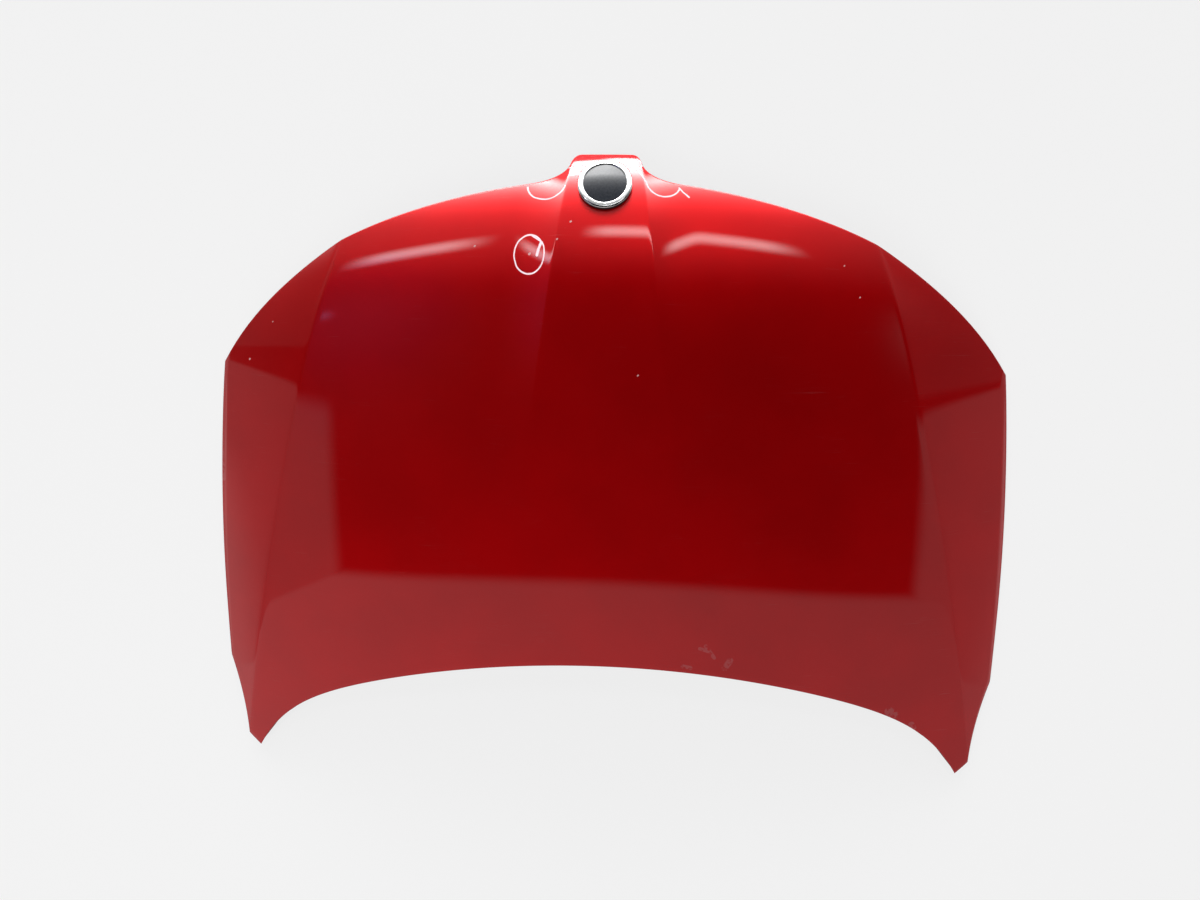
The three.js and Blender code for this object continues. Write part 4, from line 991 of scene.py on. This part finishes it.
class BONNET_OT_badge(PieceOperator, bpy.types.Operator):
    """Build the round badge: base, chromed ring and bare glossy face"""

    bl_idname = "bonnet.badge"
    bl_label = "Badge"

    def execute(self, context):
        sheet, *_ = build_sheet(context.scene.bonnet_sheet)
        outer = BADGE_RADIUS
        inner = outer - BADGE_RING_WIDTH
        crest = BADGE_TOP + BADGE_RING_HEIGHT
        ring = arc_profile(
            [
                (inner, BADGE_TOP, 0),
                (outer - 1.6, BADGE_TOP, 0.4),
                (outer, BADGE_TOP + 0.5 * BADGE_RING_HEIGHT, 0.7),
                (outer - 2.2, crest, 1.2),
                (inner + 2.0, crest, 1.0),
                (inner, BADGE_TOP + 0.6 * BADGE_RING_HEIGHT, 0.6),
                (inner, BADGE_TOP, 0),
            ]
        )
        piece = mesh_object("badge_ring_bright", *turned_on_sheet(sheet, ring, 0, BADGE_T))
        finish_piece(piece, metal("Chrome", (0.86, 0.87, 0.88), 0.12, 0.03), "chrome", "badge_ring")

        radius = inner - SEAM_GAP
        edge = BADGE_TOP + BADGE_FACE_EDGE
        shares = [k / DOME_STEPS for k in range(DOME_STEPS - 1, -1, -1)]
        dome = [(radius * x, edge + BADGE_FACE_CROWN * (1 - x**2)) for x in shares]
        face = [(0, BADGE_TOP), (radius / 2, BADGE_TOP), (radius, BADGE_TOP), (radius, edge), *dome]
        piece = mesh_object("badge_face_bare", *turned_on_sheet(sheet, face, 0, BADGE_T))
        material, tree, shader = new_material("Glossy near-black face")
        fine = noise(tree, object_place(tree), 300.0, 2.0)
        dark, less_dark = (0.012, 0.014, 0.020), (0.022, 0.025, 0.032)
        shade = mix_colour(tree, ramp(tree, fine, 0.3, 0.7), dark, less_dark)
        set_shader(
            tree,
            shader,
            Base_Color=shade,
            Roughness=0.3,
            Specular_IOR_Level=0.05,
            Coat_Weight=0.6,
            Coat_Roughness=0.04,
            Coat_IOR=1.4,
        )
        finish_piece(piece, material, "badge_face", "badge_face")
        dress_node("badge_base", plain("Badge base plastic", (0.012, 0.012, 0.013), 0.45))
        return {"FINISHED"}


# The room that the paint mirrors. Angles are in degrees from straight up, ahead or to the right, and
# slopes are their tangents. A pair holds where an edge's blur begins and ends.
REAR_WALL_TOP = (-27.1, -28.6)
REAR_WALL_SAG = 0.0024  # of its top edge, towards both sides
REAR_WALL_TILT = 0.0113
REAR_WALL_LIGHT = 0.54
REAR_WALL_FADE = -0.002  # for each degree to the right
CORNER_OFFSET = 0.205  # of the upright corners between the rear wall and the side walls
CORNER_SLOPE = 0.44
CORNER_BLUR = 0.02
SIDE_WALL_START = (0.88, 0.96)
SIDE_WALL_TOP = -0.27
SIDE_WALL_TILT = 0.055
SIDE_WALL_BLUR = 0.03
SIDE_WALL_REACH = (0.96, 2.2)
SIDE_WALL_LIGHT = (0.4, 0.28)  # at the start and at the end of its reach
LOW_WALL_AHEAD = (-35.0, -65.0)
LOW_WALL_HEIGHT = (0.25, 0.02)
LOW_WALL_LIGHT = 0.6
BEAM_SIDES = (-10.0, 10.0)
BEAM_WIDTH = (0.33, 0.07)  # of the dark beam over the side walls, left and right
CEILING_START = (-0.03, 0.05)
CEILING_REACH = (1.2, 2.2)
CEILING_LIGHT = 0.09
WINDOW_AHEAD = 64.0
WINDOW_RISE = 0.2
WINDOW_LIGHT = 1.55
WINDOW_MOST = 24.0
WINDOW_HAZE = (17.0, 50.0, 0.0, 0.36)
WINDOW_REACH = (3.6, 1.2, 0.04, 1.0)
WINDOW_SIDES = (-30.0, 35.0, 1.0, 0.7)
STRIP_AHEAD = 41.5
STRIP_SAG = 0.0045
STRIP_HALF_WIDTH = 4.4
STRIP_LIGHT = 6.5
STRIP_LEFT_PART = ((-46.0, -39.0), (-22.0, -32.0))
STRIP_RIGHT_PART = ((-9.0, -3.0), (31.0, 23.0))
# Soft spots: angles to the right and ahead, widths across and along, brightness
BLUE_HAZE = (-40.0, 10.0, 15.0, 18.0, 0.2)
BLUE_LAMP = (-44.0, 10.0, 1.2, 1.6, 0.9)
WARM_HAZE = (41.0, 6.0, 4.0, 9.0, 0.2)
FLOOR_LIGHT = 0.5
FLOOR_EDGE = (-0.02, 0.02)
LEAST_HEIGHT = 0.02  # keeps the slopes finite at the horizon


def surroundings(tree):
    """Brightness and blueness around the stage.

    It has pale walls, a dark ceiling, a long lamp and a bright window ahead.
    """
    direction = add_node(tree, "ShaderNodeTexCoord").outputs["Generated"]
    x, y, z = add_node(tree, "ShaderNodeSeparateXYZ", {"Vector": direction}).outputs

    def times(*factors):
        return functools.reduce(lambda a, b: math_node(tree, "MULTIPLY", a, b), factors)

    def plus(*terms):
        return functools.reduce(lambda a, b: math_node(tree, "ADD", a, b), terms)

    def minus(a, b):
        return math_node(tree, "SUBTRACT", a, b)

    def spot(at_right, at_ahead, width, depth, light):
        across = times(plus(right, -at_right), 1 / width)
        along = times(plus(ahead, -at_ahead), 1 / depth)
        fall = times(sum_of_squares(tree, across, along), -1.0)
        return times(math_node(tree, "EXPONENT", fall), light)

    right = times(math_node(tree, "ARCTAN2", x, z), 180 / math.pi)
    ahead = times(math_node(tree, "ARCTAN2", y, z), 180 / math.pi)
    square = times(right, right)
    height = math_node(tree, "MAXIMUM", z, LEAST_HEIGHT)
    sideways = math_node(tree, "DIVIDE", math_node(tree, "ABSOLUTE", x), height)
    forward = math_node(tree, "DIVIDE", y, height)

    rear_edge = plus(ahead, times(square, REAR_WALL_SAG), times(right, REAR_WALL_TILT))
    corner = plus(forward, CORNER_OFFSET, times(sideways, CORNER_SLOPE))
    rear_wall = times(
        ramp(tree, rear_edge, *REAR_WALL_TOP),
        ramp(tree, corner, CORNER_BLUR, -CORNER_BLUR),
        plus(REAR_WALL_LIGHT, times(right, REAR_WALL_FADE)),
    )

    past_side_wall = plus(forward, -SIDE_WALL_TOP, times(sideways, -SIDE_WALL_TILT))
    low_wall = times(
        ramp(tree, ahead, *LOW_WALL_AHEAD), ramp(tree, z, *LOW_WALL_HEIGHT), LOW_WALL_LIGHT
    )
    side_wall = times(
        ramp(tree, sideways, *SIDE_WALL_START),
        ramp(tree, past_side_wall, SIDE_WALL_BLUR, -SIDE_WALL_BLUR),
        plus(ramp(tree, sideways, *SIDE_WALL_REACH, *SIDE_WALL_LIGHT), low_wall),
    )
    walls = math_node(tree, "MAXIMUM", rear_wall, side_wall)

    past_beam = minus(past_side_wall, ramp(tree, right, *BEAM_SIDES, *BEAM_WIDTH))
    ceiling = times(
        ramp(tree, past_beam, *CEILING_START), ramp(tree, sideways, *CEILING_REACH), CEILING_LIGHT
    )

    horizon = math_node(tree, "EXPONENT", times(plus(ahead, -WINDOW_AHEAD), WINDOW_RISE))
    glow = plus(times(horizon, WINDOW_LIGHT), ramp(tree, ahead, *WINDOW_HAZE))
    narrow = times(ramp(tree, sideways, *WINDOW_REACH), ramp(tree, right, *WINDOW_SIDES))
    window = times(math_node(tree, "MINIMUM", glow, WINDOW_MOST), narrow)

    off = math_node(tree, "ABSOLUTE", minus(plus(ahead, times(square, STRIP_SAG)), STRIP_AHEAD))
    parts = [
        times(ramp(tree, right, *begin), ramp(tree, right, *end))
        for begin, end in (STRIP_LEFT_PART, STRIP_RIGHT_PART)
    ]
    strip = times(ramp(tree, off, STRIP_HALF_WIDTH, 0.0), plus(*parts), STRIP_LIGHT)

    blue = plus(spot(*BLUE_HAZE), spot(*BLUE_LAMP))
    above = plus(walls, ceiling, window, strip, blue, spot(*WARM_HAZE))
    clear_of_floor = ramp(tree, z, *FLOOR_EDGE)
    below = times(minus(1.0, clear_of_floor), FLOOR_LIGHT)
    return plus(times(above, clear_of_floor), below), ramp(tree, blue, 0.0, 0.1)


class BONNET_OT_stage(PieceOperator, bpy.types.Operator):
    """Set up the pale floor, the soft light and the camera"""

    bl_idname = "bonnet.stage"
    bl_label = "Stage"

    def execute(self, context):
        scene = context.scene
        stage = scene.bonnet_stage
        world = bpy.data.worlds.new("Studio")
        scene.world = world
        world.use_nodes = True
        tree = world.node_tree
        background = next(n for n in tree.nodes if n.type == "BACKGROUND")
        seen = add_node(tree, "ShaderNodeLightPath").outputs["Is Camera Ray"]
        brightness, blueness = surroundings(tree)
        strength = add_node(tree, "ShaderNodeMix", {0: seen, 2: brightness, 3: 1.0}, data_type="FLOAT")
        tree.links.new(strength.outputs[0], background.inputs["Strength"])
        tint = mix_colour(tree, blueness, (1, 1, 1), LAMP_TINT)
        colour = mix_colour(tree, seen, tint, (1, 1, 1))
        tree.links.new(colour, background.inputs["Color"])

        bpy.ops.mesh.primitive_plane_add(size=FLOOR_SIZE, location=(0, 0, -FLOOR_DROP))
        floor = context.active_object
        floor.name = "floor"
        material, tree, shader = new_material("Pale floor")
        colour = tuple(stage.floor_colour)
        set_shader(tree, shader, Base_Color=colour, Roughness=0.8, Specular_IOR_Level=0.2)
        glow = add_node(tree, "ShaderNodeEmission", {"Color": (1, 1, 1, 1), "Strength": 1.0})
        seen = add_node(tree, "ShaderNodeLightPath").outputs["Is Camera Ray"]
        share = math_node(tree, "MULTIPLY", seen, FLOOR_GLOW)
        mixed = add_node(
            tree, "ShaderNodeMixShader", {0: share, 1: shader.outputs[0], 2: glow.outputs[0]}
        )
        output = next(n for n in tree.nodes if n.type == "OUTPUT_MATERIAL")
        tree.links.new(mixed.outputs[0], output.inputs["Surface"])
        floor.data.materials.append(material)

        lamp_data = bpy.data.lights.new("Overhead softbox", "AREA")
        lamp_data.shape = "RECTANGLE"
        lamp_data.size = lamp_data.size_y = LAMP_SIZE
        lamp_data.energy = stage.lamp_power
        lamp = bpy.data.objects.new("Overhead softbox", lamp_data)
        lamp.location = LAMP_PLACE
        lamp.rotation_euler = (Vector((0, 0, 0)) - lamp.location).to_track_quat("-Z", "Y").to_euler()
        lamp.visible_glossy = False
        scene.collection.objects.link(lamp)

        camera_data = bpy.data.cameras.new("Camera")
        camera_data.sensor_fit = "HORIZONTAL"
        camera_data.sensor_width = SENSOR_WIDTH
        camera_data.lens = FOCAL_PIXELS * SENSOR_WIDTH / PHOTO_WIDTH
        camera = bpy.data.objects.new("Camera", camera_data)
        camera.location = CAMERA_PLACE
        camera.rotation_euler = Euler(CAMERA_TURN, "XYZ")
        scene.collection.objects.link(camera)
        scene.camera = camera
        scene.view_settings.view_transform = "Standard"
        return {"FINISHED"}


class BONNET_PT_panel(bpy.types.Panel):
    bl_label = "Bonnet"
    bl_idname = "BONNET_PT_panel"
    bl_space_type = "VIEW_3D"
    bl_region_type = "UI"
    bl_category = "Bonnet"

    def draw(self, context):
        column = self.layout.column()
        for operator in OPERATORS:
            column.operator(operator.bl_idname)
        for group in ("bonnet_sheet", "bonnet_paint", "bonnet_stage"):
            settings = getattr(context.scene, group)
            for name in settings.__annotations__:
                column.prop(settings, name)


SETTINGS = {
    "bonnet_sheet": SheetSettings,
    "bonnet_paint": PaintSettings,
    "bonnet_stage": StageSettings,
}
OPERATORS = (
    BONNET_OT_outer_skin,
    BONNET_OT_inner_panel,
    BONNET_OT_fittings,
    BONNET_OT_badge,
    BONNET_OT_stage,
)


def register():
    for name, settings in SETTINGS.items():
        bpy.utils.register_class(settings)
        setattr(bpy.types.Scene, name, PointerProperty(type=settings))
    for operator in (*OPERATORS, BONNET_PT_panel):
        bpy.utils.register_class(operator)


def unregister():
    for operator in reversed((*OPERATORS, BONNET_PT_panel)):
        bpy.utils.unregister_class(operator)
    for name, settings in SETTINGS.items():
        delattr(bpy.types.Scene, name)
        bpy.utils.unregister_class(settings)


def main():
    register()
    bpy.ops.bonnet.outer_skin()
    bpy.ops.bonnet.inner_panel()
    bpy.ops.bonnet.fittings()
    bpy.ops.bonnet.badge()
    bpy.ops.bonnet.stage()


if __name__ == "__main__":
    main()
